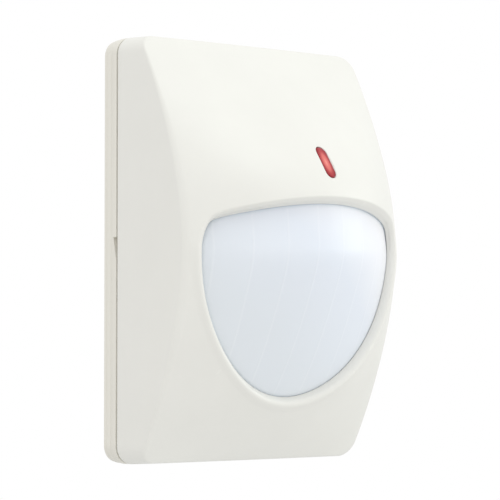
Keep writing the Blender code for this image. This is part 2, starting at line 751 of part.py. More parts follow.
def make_terminals(block_look, screw_look):
    width = TERMINALS * TERMINAL_PITCH
    block = box("terminal_block", width, TERMINAL_BLOCK_HEIGHT, TERMINAL_BLOCK_RISE, block_look)
    place(block, 0, TERMINAL_HEIGHT, SEAT_DEPTH)
    front = SEAT_DEPTH + TERMINAL_BLOCK_RISE
    well_depth = TERMINAL_SCREW_WALL + 3 * FIT_GAP
    well_diameter = TERMINAL_SCREW_DIAMETER + 2 * FIT_GAP
    bottom = TERMINAL_HEIGHT - TERMINAL_BLOCK_HEIGHT / 2
    for k in range(TERMINALS):
        x = (k - (TERMINALS - 1) / 2) * TERMINAL_PITCH
        well = cylinder(f"Cut screw well {k + 1}", well_diameter, well_depth + MM, None, 16)
        place(well, x, TERMINAL_HEIGHT, front - well_depth)
        entry = box(f"Cut wire entry {k + 1}", ENTRY_SIDE, 2 * ENTRY_DEPTH, ENTRY_SIDE, None)
        place(entry, x, bottom, SEAT_DEPTH + ENTRY_RISE)
        cut(block, well, entry)
        name = f"terminal_screw_{k + 1}"
        screw = slotted_screw(name, TERMINAL_SCREW_DIAMETER, TERMINAL_SCREW_WALL, 0, 0, screw_look)
        place(screw, x, TERMINAL_HEIGHT, front - well_depth + FIT_GAP)


def make_tamper_switch(body_look, plunger_look):
    body = box("tamper_switch_body", TAMPER_SIDE, TAMPER_SIDE, TAMPER_RISE, body_look)
    place(body, LEFT_COLUMN, SCREW_HEIGHT, SEAT_DEPTH)
    front = SEAT_DEPTH + TAMPER_RISE
    well_depth = PLUNGER_SUNK + PLUNGER_TRAVEL + 2 * FIT_GAP
    well = cylinder("Cut plunger well", PLUNGER_DIAMETER + 2 * FIT_GAP, well_depth + MM, None)
    cut(body, place(well, LEFT_COLUMN, SCREW_HEIGHT, front - well_depth))
    radius = PLUNGER_DIAMETER / 2
    length = PLUNGER_DEPTH - front + PLUNGER_SUNK
    tip = 0.3 * radius
    profile = [(0, length), (radius - tip, length), (radius, length - tip), (radius, 0), (0, 0)]
    plunger = turned("tamper_plunger", profile, plunger_look, 16)
    place(plunger, LEFT_COLUMN, SCREW_HEIGHT, front - PLUNGER_SUNK)


def make_option_switch(body_look, slider_look):
    width = SWITCHES * SWITCH_PITCH + 2 * SWITCH_SIDE_WALL
    body = box("option_switch_body", width, SWITCH_BODY_HEIGHT, SWITCH_RISE, body_look)
    place(body, LEFT_COLUMN, SWITCH_HEIGHT, SEAT_DEPTH)
    floor = SEAT_DEPTH + SWITCH_RISE - SLIDER_SUNK
    well_width = SLIDER_WIDTH + 2 * FIT_GAP
    well_length = SLIDER_HEIGHT + SLIDER_TRAVEL + 2 * FIT_GAP
    for k in range(SWITCHES):
        x = LEFT_COLUMN + (k - (SWITCHES - 1) / 2) * SWITCH_PITCH
        well = box(f"Cut slider well {k + 1}", well_width, well_length, SLIDER_SUNK + MM, None)
        cut(body, place(well, x, SWITCH_HEIGHT, floor))
        name = f"option_slider_{k + 1}"
        slider = box(name, SLIDER_WIDTH, SLIDER_HEIGHT, SLIDER_SUNK + SLIDER_PROUD, slider_look)
        place(slider, x, SWITCH_HEIGHT - SLIDER_TRAVEL / 2, floor + SEAT_GAP)


def make_trimmer(body_look, rotor_look):
    body = box("sensitivity_trimmer_body", TRIMMER_SIDE, TRIMMER_SIDE, TRIMMER_RISE, body_look)
    place(body, LEFT_COLUMN, TRIMMER_HEIGHT, SEAT_DEPTH)
    floor = SEAT_DEPTH + TRIMMER_RISE - ROTOR_RISE
    well = cylinder("Cut rotor well", ROTOR_DIAMETER + 2 * FIT_GAP, 2 * ROTOR_RISE, None, 24)
    cut(body, place(well, LEFT_COLUMN, TRIMMER_HEIGHT, floor))
    rotor = slotted_screw("sensitivity_rotor", ROTOR_DIAMETER, ROTOR_RISE, 0, 0, rotor_look)
    place(rotor, LEFT_COLUMN, TRIMMER_HEIGHT, floor + SEAT_GAP)


def make_capacitor(name, height_share, diameter, rise, look):
    """An upright can in the right column, with the groove that crimps its sleeve."""
    radius = diameter / 2
    inner = radius - CAPACITOR_GROOVE
    low, middle, high = CAPACITOR_GROOVE_RISES
    profile = [
        (0, rise), (inner, rise), (radius, rise - CAPACITOR_GROOVE), (radius, high),
        (inner, middle), (radius, low), (radius, 0), (0, 0),
    ]
    can = turned(name, profile, look, 20)
    return place(can, RIGHT_COLUMN, height_share * HALF_HEIGHT, SEAT_DEPTH)


def make_package(name, x, z, size, rise, look):
    """A flat moulded part; size is its width and height."""
    place(box(name, size[0], size[1], rise, look, PACKAGE_BEVEL), x, z, SEAT_DEPTH)


def make_board_parts(looks):
    black = looks["black"]
    left = LEFT_COLUMN + INNER_COLUMN_GAP
    right = RIGHT_COLUMN - INNER_COLUMN_GAP
    relay_height = -0.21 * HALF_HEIGHT
    amplifier_height = 0.33 * HALF_HEIGHT
    small_height = 0.24 * HALF_HEIGHT
    relay_size = (9.4 * MM, 14.8 * MM)
    processor_size = (12.8 * MM, 7.5 * MM)
    amplifier_size = (8.6 * MM, 4.0 * MM)
    regulator_size = (4.5 * MM, 3.6 * MM)
    resonator_size = (8.6 * MM, 4.0 * MM)
    make_capacitor("supply_capacitor", 0.18, 6.3 * MM, 8.0 * MM, looks["sleeve"])
    make_capacitor("filter_capacitor", 0.37, 5.0 * MM, 7.0 * MM, looks["sleeve"])
    make_capacitor("timing_capacitor", 0.54, 5.0 * MM, 7.0 * MM, looks["sleeve"])
    make_package("alarm_relay", RIGHT_COLUMN, relay_height, relay_size, 9.0 * MM, looks["relay"])
    make_package("signal_processor", 0, PROCESSOR_HEIGHT, processor_size, 2.3 * MM, black)
    make_package("amplifier_chip", LEFT_COLUMN, amplifier_height, amplifier_size, 1.6 * MM, black)
    make_package("voltage_regulator", left, small_height, regulator_size, 1.6 * MM, black)
    make_package("clock_resonator", right, small_height, resonator_size, 3.4 * MM, looks["steel"])


def main():
    global parts, cutters
    clear_scene()
    parts = new_collection("motion_sensor")
    cutters = new_collection("cutters")
    looks = {
        "case": material("case_plastic", (0.80, 0.79, 0.75), 0.45),
        "base": material("base_plastic", (0.76, 0.75, 0.70), 0.5),
        "lens": material("lens_film", (0.82, 0.87, 0.93), 0.35),
        "frame": material("frame_plastic", (0.72, 0.72, 0.70), 0.5),
        "red": material("indicator_red", (0.70, 0.05, 0.04), 0.15),
        "board": material("board_laminate", (0.03, 0.20, 0.09), 0.45),
        "steel": material("plated_steel", (0.72, 0.71, 0.69), 0.3, 1.0),
        "black": material("black_resin", (0.03, 0.03, 0.03), 0.5),
        "filter": material("infrared_filter", (0.10, 0.10, 0.12), 0.1),
        "white": material("shroud_plastic", (0.80, 0.80, 0.78), 0.5),
        "terminal": material("terminal_plastic", (0.05, 0.22, 0.10), 0.5),
        "relay": material("relay_case", (0.75, 0.42, 0.08), 0.4),
        "sleeve": material("capacitor_sleeve", (0.05, 0.06, 0.12), 0.35),
        "switch": material("switch_blue", (0.05, 0.13, 0.45), 0.45),
        "rubber": material("grommet_rubber", (0.06, 0.06, 0.06), 0.8),
    }
    make_base(looks["base"])
    make_grommet(looks["rubber"])
    make_cover(looks["case"])
    make_lens(looks["lens"])
    make_lens_frame(looks["frame"])
    make_light_guide(looks["red"])
    make_board(looks["board"])
    make_board_screw(looks["steel"])
    make_sensor(looks["steel"], looks["black"], looks["filter"], looks["white"])
    make_indicator(looks["red"])
    make_terminals(looks["terminal"], looks["steel"])
    make_tamper_switch(looks["black"], looks["white"])
    make_option_switch(looks["switch"], looks["white"])
    make_trimmer(looks["switch"], looks["white"])
    make_board_parts(looks)


main()
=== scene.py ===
"""Looks of a wall-mounted passive infrared motion sensor, about 100 mm tall.

Frame: +Z up, the front faces -Y, and the origin is the centre of the rear face that lies on the wall.
"Depth" is the distance from the wall, so a point at depth d has Y = -d. All lengths are in metres.
"""

import json
import math

import bmesh
import bpy
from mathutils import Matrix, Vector


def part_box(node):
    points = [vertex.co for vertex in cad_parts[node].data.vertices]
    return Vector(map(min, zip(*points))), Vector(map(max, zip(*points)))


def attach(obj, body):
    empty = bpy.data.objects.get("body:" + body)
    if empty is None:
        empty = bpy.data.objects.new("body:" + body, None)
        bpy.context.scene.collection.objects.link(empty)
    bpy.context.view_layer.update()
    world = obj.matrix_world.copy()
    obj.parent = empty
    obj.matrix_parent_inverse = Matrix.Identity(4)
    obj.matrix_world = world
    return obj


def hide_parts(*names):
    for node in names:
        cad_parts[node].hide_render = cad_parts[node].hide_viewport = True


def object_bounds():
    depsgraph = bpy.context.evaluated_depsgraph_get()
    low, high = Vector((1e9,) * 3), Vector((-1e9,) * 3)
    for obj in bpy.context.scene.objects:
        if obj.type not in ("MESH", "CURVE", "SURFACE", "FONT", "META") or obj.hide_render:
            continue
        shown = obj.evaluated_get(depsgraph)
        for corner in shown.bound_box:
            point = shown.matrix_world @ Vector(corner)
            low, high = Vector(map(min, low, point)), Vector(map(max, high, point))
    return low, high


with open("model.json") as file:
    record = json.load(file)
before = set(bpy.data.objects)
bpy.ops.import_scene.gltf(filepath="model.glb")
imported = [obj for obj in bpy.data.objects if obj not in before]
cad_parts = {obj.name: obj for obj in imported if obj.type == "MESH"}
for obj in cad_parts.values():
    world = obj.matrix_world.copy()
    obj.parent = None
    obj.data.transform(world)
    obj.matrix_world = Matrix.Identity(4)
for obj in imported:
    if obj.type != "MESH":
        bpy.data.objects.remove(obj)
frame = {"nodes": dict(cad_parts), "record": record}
CAD_LOW, CAD_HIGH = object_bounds()

MM = 0.001


class Box:
    """The box round a CAD node. near and far are its least and greatest depth; place is its centre (x, z)."""

    def __init__(self, node):
        self.low, self.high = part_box(node)
        self.centre = (self.low + self.high) / 2
        self.size = self.high - self.low
        self.near = -self.high.y
        self.far = -self.low.y
        self.place = (self.centre.x, self.centre.z)


# ---------------------------------------------------------------- sizes

COVER = Box("front_cover")
HALF_WIDTH = COVER.high.x
HALF_HEIGHT = COVER.high.z
COVER_REAR = COVER.near
PARTING_GAP = 0.35 * MM
BASE_DEPTH = COVER_REAR - PARTING_GAP
FIT_GAP = 0.3 * MM
OVERCUT = 1.0 * MM    # how far a cutting tool runs past the face that it cuts

CORNER_RADIUS = 4.2 * MM
SIDE_DRAFT = 0.4 * MM
EDGE_DEPTH_MIDDLE = 30.0 * MM    # side edge of the front, half-way up
EDGE_DEPTH_END = 13.4 * MM    # side edge of the front, at the top and bottom
EDGE_POWER = 1.72
CENTRE_DEPTH_MIDDLE = 46.4 * MM    # centre line of the front, half-way up
CENTRE_DEPTH_END = 13.9 * MM
NOSE_SHARE = 0.36
CHIN_SLOPE = 0.65
CHIN_POWER = 3.6
CHIN_ROUNDING = 0.08
CREASE_RADIUS_END = 0.5 * MM
CREASE_RADIUS_MIDDLE = 1.3 * MM
SIDE_WALL = 1.8 * MM
FRONT_WALL = 2.9 * MM
INNER_CREASE_RADIUS = 0.5 * MM
REAR_ROUNDING = 0.14 * MM
REAR_CHAMFER = 0.1 * MM
POST_WIDTH = 3.0 * MM
POST_LENGTH = 10.0 * MM

OPENING_HALF_WIDTH = HALF_WIDTH - 4.45 * MM
OPENING_TOP = 10.2 * MM
OPENING_WIDEST = -0.6 * MM
OPENING_TIP = HALF_HEIGHT - 15.6 * MM + OPENING_WIDEST
TOP_ARC_RADIUS = 90.0 * MM
SHOULDER_HEIGHT = 19.0 * MM
TIP_POWER = 1.96
SHOULDER_POWER = 40
RIM_BEVEL = 1.3 * MM
BROW_BEVEL = 0.4 * MM
RIM_LAND = 0.05 * MM
RIM_ROUNDING = 2.1 * MM
BEAD_RISE = 0.34 * MM    # raised edge round the opening's sides and bottom
BEAD_WIDTH = 1.5 * MM
BEAD_FADE = 1.6    # how fast it dies away towards the top
# How far the bead has fallen away from the opening: (share of its width, share of its rise).
BEAD_PROFILE = ((0.2, 0.9), (0.4, 0.65), (0.6, 0.35), (0.8, 0.1), (1.0, 0.0))
BROW_NARROWING = 0.4    # how much narrower the bevel is along the opening's top
RIM_NARROWING = 0.2    # and at its sides

LENS_FLANGE = 1.5 * MM
LENS_WALL = 0.8 * MM
FACET_WIDTH = 7.6 * MM
LENS_SEAT = FRONT_WALL + 0.12 * MM    # the lens's flange, behind the cover's front wall
LENS_LOSS = FRONT_WALL + 0.02 * MM    # the lens's dome, just under the opening
LENS_SINK = 0.7 * MM    # the dome lies deeper towards its upper corners
LENS_SINK_POWER = 1.5
LENS_SINK_MIDDLE = 0.35    # share of the sink on the centre line
LENS_EDGE_GAP = 0.01 * MM    # beside the dome along its top
LENS_SIDE_GAP = 0.02 * MM    # more beside the dome at its sides
LENS_EDGE = ((0, 0.06 * MM), (0.001, 0.02 * MM))    # (share shrunk, drop) where the dome's edge turns over

GUIDE = Box("led_light_guide")
WINDOW_WIDTH = 2.4 * MM
WINDOW_LENGTH = 6.9 * MM
WINDOW_FLANGE = 1.0 * MM
WINDOW_HEIGHT = GUIDE.centre.z
SEEN_GROWTH = 0.46 * MM    # the guide's end nearly fills the slot
SEEN_LOSS = -0.1 * MM
GUIDE_END_DROP = 0.45 * MM
GUIDE_END_INSETS = (0.5 * MM, 0.7 * MM, 0.95 * MM, 1.15 * MM)
# (growth, depth below the front) of the slot in the cover, from the inside out.
SLOT_PROFILE = (
    (0, FRONT_WALL + 1.5 * MM),
    (0, 0.28 * MM),
    (0.14 * MM, 0.1 * MM),
    (0.5 * MM, -0.02 * MM),
    (0.5 * MM, -3.0 * MM),
)

BOARD = Box("circuit_board")
SCREW_HEIGHT = Box("board_screw").centre.z
GROMMET_HEIGHT = Box("cable_grommet").centre.z
TONGUE_DEPTH = Box("rear_base").far
BACK_WALL = 2.0 * MM
BACK_ROUND = 0.4 * MM
BACK_STEP = 0.15 * MM
STEP_DEPTHS = (1.2 * MM, 3.1 * MM)
STEP_GROOVE = 0.12 * MM
SHELF_DEPTH = BASE_DEPTH - 0.22 * MM    # the rim's front face
SHELF_ROUNDING = 0.15 * MM
SHELF_FILLET = 0.1 * MM
TONGUE_WALL = 1.2 * MM
TONGUE_INSET = SIDE_WALL + FIT_GAP
TONGUE_ROUNDING = 0.3 * MM
TRAY_INSET = TONGUE_INSET + TONGUE_WALL
TRAY_FILLET = 0.4 * MM
RAIL_WIDTH = 2.0 * MM
RAIL_INSET = 4.5 * MM
RAIL_SHORTENING = 10.0 * MM    # a rail is this much shorter than the board
SIDE_GUIDE_WALL = 1.2 * MM
SIDE_GUIDE_RISE = 1.0 * MM
BOSS_DIAMETER = 6.2 * MM
BOSS_HOLE_DIAMETER = 3.0 * MM
WALL_HOLE_DIAMETER = 4.5 * MM
WALL_HOLE_INSET = 13.0 * MM
WALL_HOLE_MARGIN = 8.0 * MM
WALL_SINKING_DIAMETER = WALL_HOLE_DIAMETER + 2.4 * MM
WALL_SINKING_DEPTH = 0.25 * MM
MARK_DIAMETER = 3.0 * MM    # round ejector marks on the rear face
MARK_DISTANCE = 17.0 * MM
MARK_SINK = 0.12 * MM
PANEL_WIDTH = 34.0 * MM    # shallow panel on the rear face
PANEL_LENGTH = 44.0 * MM
PANEL_HEIGHT = 3.0 * MM
PANEL_CORNER = 2.5 * MM
PANEL_SINK = 0.2 * MM
CABLE_HOLE_DIAMETER = 8.0 * MM
NOTCH_HALF_LENGTH = 2.8 * MM
NOTCH_HEIGHT = 0.15 * MM
NOTCH_DEPTH = 1.3 * MM
NOTCH_SHALLOW = 0.1 * MM
NOTCH_FRONT = BASE_DEPTH + 0.5 * MM
NOTCH_REACH = 1.1 * MM

SPOKES = 288    # even angles round the body
CROWD_STEPS = 14    # more angles on each side of a corner or shoulder
CROWD_STEP = math.radians(0.42)
LEAST_STEP = math.radians(0.2)
SHOULDER_SEARCH = range(100, 180)    # hundredths of a radian from straight up
SHARP_ANGLE = 35    # degrees between faces, above which an edge stays sharp
FRONT_STEPS = 30
RIM_STEPS = 8
CREASE_STEPS = 9
INNER_CREASE_STEPS = 3
SIDE_STEPS = 6
INNER_STEPS = 12
LENS_STEPS = 60


# ---------------------------------------------------------------- the front's shape

def edge_depth(z):
    """Depth of the crease between a side and the front."""
    share = min(abs(z) / HALF_HEIGHT, 1.0)
    return EDGE_DEPTH_MIDDLE - (EDGE_DEPTH_MIDDLE - EDGE_DEPTH_END) * share ** EDGE_POWER


def nose_drop(share):
    return (share ** 4 + NOSE_SHARE ** 4) ** 0.25 - NOSE_SHARE


def chin_drop(share):
    slope = math.sqrt(share ** 2 + CHIN_ROUNDING ** 2) - CHIN_ROUNDING
    return CHIN_SLOPE * slope + (1 - CHIN_SLOPE) * share ** CHIN_POWER


def centre_depth(z):
    """The centre line: a round nose above the middle, and a straighter slope below it."""
    share = min(abs(z) / HALF_HEIGHT, 1.0)
    drop_of = nose_drop if z > 0 else chin_drop
    drop = CENTRE_DEPTH_MIDDLE - CENTRE_DEPTH_END
    return CENTRE_DEPTH_MIDDLE - drop * drop_of(share) / drop_of(1.0)


def front_depth(x, z):
    """The front surface: level with the side edges at the sides, bulging to the centre line."""
    share = min(abs(x) / HALF_WIDTH, 1.0)
    side = edge_depth(z)
    return side + (centre_depth(z) - side) * (1 - share ** 2)


def crease_radius(z):
    share = min(abs(z) / HALF_HEIGHT, 1.0)
    return CREASE_RADIUS_END + (CREASE_RADIUS_MIDDLE - CREASE_RADIUS_END) * (1 - share ** 2) ** 2


def opening_radius(angle):
    """Distance from the widest level's centre to the opening's edge; angle 0 is up."""
    across = abs(math.sin(angle))
    along = math.cos(angle)
    if along < 0:
        tip = (-along / OPENING_TIP) ** TIP_POWER
        side = ((across / OPENING_HALF_WIDTH) ** TIP_POWER + tip) ** (-1 / TIP_POWER)
    else:
        side = ((across / OPENING_HALF_WIDTH) ** 2 + (along / SHOULDER_HEIGHT) ** 2) ** -0.5
    rise = OPENING_TOP - OPENING_WIDEST
    root = math.sqrt(along ** 2 + 2 * rise * across ** 2 / TOP_ARC_RADIUS)
    top = 2 * rise / (along + root) if along + root > 1e-6 else 1.0
    return (side ** -SHOULDER_POWER + top ** -SHOULDER_POWER) ** (-1 / SHOULDER_POWER)


def opening_point(angle):
    radius = opening_radius(angle)
    return Vector((radius * math.sin(angle), OPENING_WIDEST + radius * math.cos(angle)))


def opening_frame(angle):
    """The opening's edge at this angle, and the direction out of the opening there."""
    small = 0.001
    here = opening_point(angle)
    along = opening_point(angle + small) - opening_point(angle - small)
    out = Vector((-along.y, along.x)).normalized()
    if out.dot(here - Vector((0, OPENING_WIDEST))) < 0:
        out = -out
    return here, out


def body_frame(angle):
    """The body's outline on the ray from the opening's centre, and the direction out there."""
    ray = Vector((math.sin(angle), math.cos(angle)))
    start = Vector((0, OPENING_WIDEST))
    reach_x = HALF_WIDTH / max(abs(ray.x), 1e-9)
    reach_z = (HALF_HEIGHT - math.copysign(1, ray.y) * OPENING_WIDEST) / max(abs(ray.y), 1e-9)
    here = start + ray * min(reach_x, reach_z)
    corner = Vector((
        math.copysign(HALF_WIDTH - CORNER_RADIUS, ray.x),
        math.copysign(HALF_HEIGHT - CORNER_RADIUS, ray.y),
    ))
    if abs(here.x) > abs(corner.x) and abs(here.y) > abs(corner.y):
        gap = start - corner
        half = gap.dot(ray)
        reach = -half + math.sqrt(half ** 2 - gap.dot(gap) + CORNER_RADIUS ** 2)
        here = start + ray * reach
        return here, (here - corner).normalized()
    if reach_x < reach_z:
        return here, Vector((math.copysign(1, ray.x), 0))
    return here, Vector((0, math.copysign(1, ray.y)))


def shoulder_sharpness(angle, gap=0.05):
    """How far the opening stands out here beyond the line between its neighbours."""
    return opening_radius(angle) - 0.5 * (opening_radius(angle - gap) + opening_radius(angle + gap))


def spoke_angles():
    """Angles round the opening, closer together at the body's corners and the opening's shoulders."""
    found = [math.radians(360 / SPOKES * k) for k in range(SPOKES)]
    crowded = []
    for sign in (1, -1):
        height = sign * (HALF_HEIGHT - CORNER_RADIUS / 2) - OPENING_WIDEST
        crowded.append(math.atan2(HALF_WIDTH - CORNER_RADIUS / 2, height))
    crowded.append(max((k / 100 for k in SHOULDER_SEARCH), key=shoulder_sharpness))
    for middle in crowded:
        for k in range(-CROWD_STEPS, CROWD_STEPS + 1):
            for side in (1, -1):
                found.append((side * (middle + CROWD_STEP * k)) % (2 * math.pi))
    found.sort()
    kept = []
    for angle in found:
        if not kept or angle - kept[-1] > LEAST_STEP:
            kept.append(angle)
    return kept


ANGLES = spoke_angles()
BODY_FRAMES = [body_frame(a) for a in ANGLES]
OPENING_FRAMES = [opening_frame(a) for a in ANGLES]


def body_ring(inset):
    """Points (x, z) round the body, moved in by inset."""
    return [here - out * inset for here, out in BODY_FRAMES]


def opening_ring(grow=0.0, brow=0.0):
    """Points (x, z) round the opening, moved out by grow, and by brow more along the top."""
    found = []
    for here, out in OPENING_FRAMES:
        up = max(0.0, out.y) ** 2
        reach = grow * (1 - RIM_NARROWING * out.x ** 2 - BROW_NARROWING * up) + brow * up
        found.append(here + out * reach)
    return found


def point(x, z, depth):
    return Vector((x, -depth, z))


def on_skin(ring, loss):
    return [point(p[0], p[1], front_depth(p[0], p[1]) - loss) for p in ring]


def at_depth(ring, depth):
    return [point(p[0], p[1], depth) for p in ring]


# ---------------------------------------------------------------- mesh helpers

def join_rows(bm, near, far):
    count = len(near)
    for i in range(count):
        j = (i + 1) % count
        bm.faces.new((near[i], near[j], far[j], far[i]))


def make_rows(bm, rings):
    rows = [[bm.verts.new(p) for p in ring] for ring in rings]
    for near, far in zip(rows, rows[1:]):
        join_rows(bm, near, far)
    return rows


def loft(rings, closed=False):
    """A skin through equal-length rings: closed joins the last to the first, else the ends are capped."""
    bm = bmesh.new()
    rows = make_rows(bm, rings)
    if closed:
        join_rows(bm, rows[-1], rows[0])
    else:
        bm.faces.new(rows[0])
        bm.faces.new(rows[-1])
    return bm


def new_object(name, bm, sharp=SHARP_ANGLE):
    """An object from the bmesh, smooth except where its faces meet at more than sharp degrees."""
    bmesh.ops.remove_doubles(bm, verts=bm.verts, dist=0.0005 * MM)
    bmesh.ops.recalc_face_normals(bm, faces=bm.faces)
    mesh = bpy.data.meshes.new(name)
    bm.to_mesh(mesh)
    bm.free()
    mesh.shade_smooth()
    mesh.set_sharp_from_angle(angle=math.radians(sharp))
    obj = bpy.data.objects.new(name, mesh)
    bpy.context.scene.collection.objects.link(obj)
    return obj


def carve(target, tools, operation="DIFFERENCE"):
    """Applies exact Booleans to target, and removes the tools."""
    for tool in tools:
        modifier = target.modifiers.new("Boolean", "BOOLEAN")
        modifier.operation = operation
        modifier.solver = "EXACT"
        modifier.object = tool
    graph = bpy.context.evaluated_depsgraph_get()
    made = bpy.data.meshes.new_from_object(target.evaluated_get(graph))
    target.modifiers.clear()
    target.data = made
    made.set_sharp_from_angle(angle=math.radians(SHARP_ANGLE))
    for tool in tools:
        bpy.data.objects.remove(tool, do_unlink=True)
    return target


def stadium(width, length, steps=12):
    """Points (x, z) round an upright slot."""
    radius = width / 2
    half = length / 2 - radius
    found = []
    for sign, start in ((1, -90), (-1, 90)):
        for k in range(steps + 1):
            angle = math.radians(start + 180 * k / steps)
            found.append((radius * math.sin(angle), sign * half + radius * math.cos(angle)))
    return found


def moved(ring, x, z):
    return [(p[0] + x, p[1] + z) for p in ring]


def between(first, second, share):
    return [a.lerp(b, share) for a, b in zip(first, second)]


def bend(start, corner, end, steps):
    """Points on the quadratic curve that rounds the corner of a profile."""
    found = []
    for k in range(steps + 1):
        t = k / steps
        found.append(tuple(
            a * (1 - t) ** 2 + 2 * b * t * (1 - t) + c * t ** 2
            for a, b, c in zip(start, corner, end)
        ))
    return found


def circle(diameter, x=0.0, z=0.0, steps=48):
    radius = diameter / 2
    turns = [2 * math.pi * k / steps for k in range(steps)]
    return [(x + radius * math.sin(a), z + radius * math.cos(a)) for a in turns]


def rounded_box(size_x, size_z, x=0.0, z=0.0, radius=0.5 * MM, steps=6):
    """Points (x, z) round a rectangle with round corners."""
    found = []
    for index, (sx, sz) in enumerate(((1, 1), (1, -1), (-1, -1), (-1, 1))):
        cx = x + sx * (size_x / 2 - radius)
        cz = z + sz * (size_z / 2 - radius)
        for k in range(steps + 1):
            angle = math.radians(90 * index + 90 * k / steps)
            found.append((cx + radius * math.sin(angle), cz + radius * math.cos(angle)))
    return found


def prism(outline, near, far):
    """A temporary solid from one depth to another."""
    return new_object("tool", loft([at_depth(outline, near), at_depth(outline, far)]))


# ---------------------------------------------------------------- materials

def new_material(name):
    material = bpy.data.materials.new(name)
    material.use_nodes = True
    tree = material.node_tree
    return material, tree, tree.nodes["Principled BSDF"]


def add_node(tree, kind, inputs=None, **settings):
    """A node with these settings; inputs gives its sockets' values by name."""
    node = tree.nodes.new(kind)
    for name, value in settings.items():
        setattr(node, name, value)
    set_inputs(node, inputs or {})
    return node


def set_inputs(node, values):
    for name, value in values.items():
        node.inputs[name].default_value = value


def noise(tree, coordinate, size, detail=3.0, roughness=0.5, distortion=0.0):
    """A noise texture whose features are about size metres across."""
    values = {"Scale": 1 / size, "Detail": detail, "Roughness": roughness, "Distortion": distortion}
    node = add_node(tree, "ShaderNodeTexNoise", values)
    tree.links.new(coordinate, node.inputs["Vector"])
    return node.outputs["Fac"]


def ramp(tree, value, stops, interpolation="LINEAR"):
    """A colour ramp; a stop is (position, grey) or (position, colour)."""
    node = add_node(tree, "ShaderNodeValToRGB")
    node.color_ramp.interpolation = interpolation
    elements = node.color_ramp.elements
    while len(elements) < len(stops):
        elements.new(0.5)
    for element, (position, shade) in zip(elements, stops):
        element.position = position
        element.color = (*shade, 1.0) if hasattr(shade, "__len__") else (shade, shade, shade, 1.0)
    tree.links.new(value, node.inputs["Fac"])
    return node.outputs["Color"]


def spread(tree, value, low, high, from_low=0.3, from_high=0.7):
    """The value, mapped from from_low .. from_high to low .. high."""
    limits = {"From Min": from_low, "From Max": from_high, "To Min": low, "To Max": high}
    node = add_node(tree, "ShaderNodeMapRange", limits)
    tree.links.new(value, node.inputs["Value"])
    return node.outputs["Result"]


def mix_colour(tree, share, first, second, blend="MIX"):
    node = add_node(tree, "ShaderNodeMix", data_type="RGBA", blend_type=blend)
    for name, value in (("Factor", share), ("A", first), ("B", second)):
        sockets = [s for s in node.inputs if s.name == name and s.enabled]
        if hasattr(value, "is_linked"):
            tree.links.new(value, sockets[0])
        elif hasattr(value, "__len__"):
            sockets[0].default_value = (*value, 1.0)
        else:
            sockets[0].default_value = value
    return [s for s in node.outputs if s.enabled][0]


def bump(tree, shader, layers):
    """Chains bump nodes from (height socket, strength, distance) and links the last to the shader."""
    last = None
    for height, strength, distance in layers:
        node = add_node(tree, "ShaderNodeBump", {"Strength": strength, "Distance": distance})
        tree.links.new(height, node.inputs["Height"])
        if last:
            tree.links.new(last.outputs["Normal"], node.inputs["Normal"])
        last = node
    tree.links.new(last.outputs["Normal"], shader.inputs["Normal"])


def object_coordinate(tree):
    return add_node(tree, "ShaderNodeTexCoord").outputs["Object"]


def edges(tree, low=0.56, high=0.64):
    """White on convex edges, from the mesh's curvature."""
    pointiness = add_node(tree, "ShaderNodeNewGeometry").outputs["Pointiness"]
    return spread(tree, pointiness, 0.0, 1.0, low, high)


def tint(colour, factor):
    return tuple(min(1.0, c * factor) for c in colour)


def moulded(name, colour, rough=0.42, vary=0.025, coat=0.0, metal=0.0):
    """Moulded or sheet material: cloudy colour, fine grain, uneven gloss, and lighter convex edges."""
    material, tree, shader = new_material(name)
    where = object_coordinate(tree)
    cloud = noise(tree, where, 14 * MM, 4.0, 0.55)
    speck = noise(tree, where, 0.35 * MM, 2.0, 0.6)
    broad = ramp(tree, cloud, [(0.3, tint(colour, 1 - vary)), (0.7, tint(colour, 1 + vary))])
    fine = mix_colour(tree, spread(tree, speck, 0.0, 0.5 * vary + 0.02), broad, tint(colour, 0.86))
    # lighter on convex edges, from the mesh's curvature
    lighter_edges = mix_colour(tree, edges(tree), fine, tint(colour, 1.03))
    tree.links.new(lighter_edges, shader.inputs["Base Color"])
    smudge = noise(tree, where, 6 * MM, 5.0, 0.6, 0.4)
    tree.links.new(spread(tree, smudge, rough - 0.05, rough + 0.06), shader.inputs["Roughness"])
    set_inputs(shader, {"Metallic": metal, "Coat Weight": coat})
    bump(tree, shader, [(cloud, 0.05, 0.3 * MM), (speck, 0.25, 0.02 * MM)])
    return material


MOULDED_LOOKS = {
    "case_plastic": ((0.795, 0.785, 0.74), {"rough": 0.4, "vary": 0.012}),
    "base_plastic": ((0.765, 0.74, 0.67), {"rough": 0.46, "vary": 0.02}),
    "frame_plastic": ((0.74, 0.74, 0.72), {}),
    "board_laminate": ((0.02, 0.16, 0.07), {"rough": 0.3, "vary": 0.1}),
    "plated_steel": ((0.72, 0.71, 0.69), {"rough": 0.28, "metal": 1.0}),
    "black_resin": ((0.03, 0.03, 0.032), {"rough": 0.45, "vary": 0.15}),
    "infrared_filter": ((0.10, 0.10, 0.13), {"rough": 0.12, "coat": 0.5}),
    "shroud_plastic": ((0.80, 0.80, 0.78), {}),
    "terminal_plastic": ((0.03, 0.20, 0.08), {"rough": 0.38}),
    "relay_case": ((0.75, 0.36, 0.06), {"rough": 0.35}),
    "switch_blue": ((0.04, 0.11, 0.42), {"rough": 0.38}),
    "switch_white": ((0.82, 0.82, 0.80), {"rough": 0.38}),
    "capacitor_sleeve": ((0.04, 0.05, 0.12), {"rough": 0.3}),
    "grommet_rubber": ((0.05, 0.05, 0.05), {"rough": 0.7}),
    "led_resin": ((0.62, 0.04, 0.03), {"rough": 0.12, "coat": 0.6}),
}
LOOKS = {slot: moulded(slot, colour, **finish) for slot, (colour, finish) in MOULDED_LOOKS.items()}


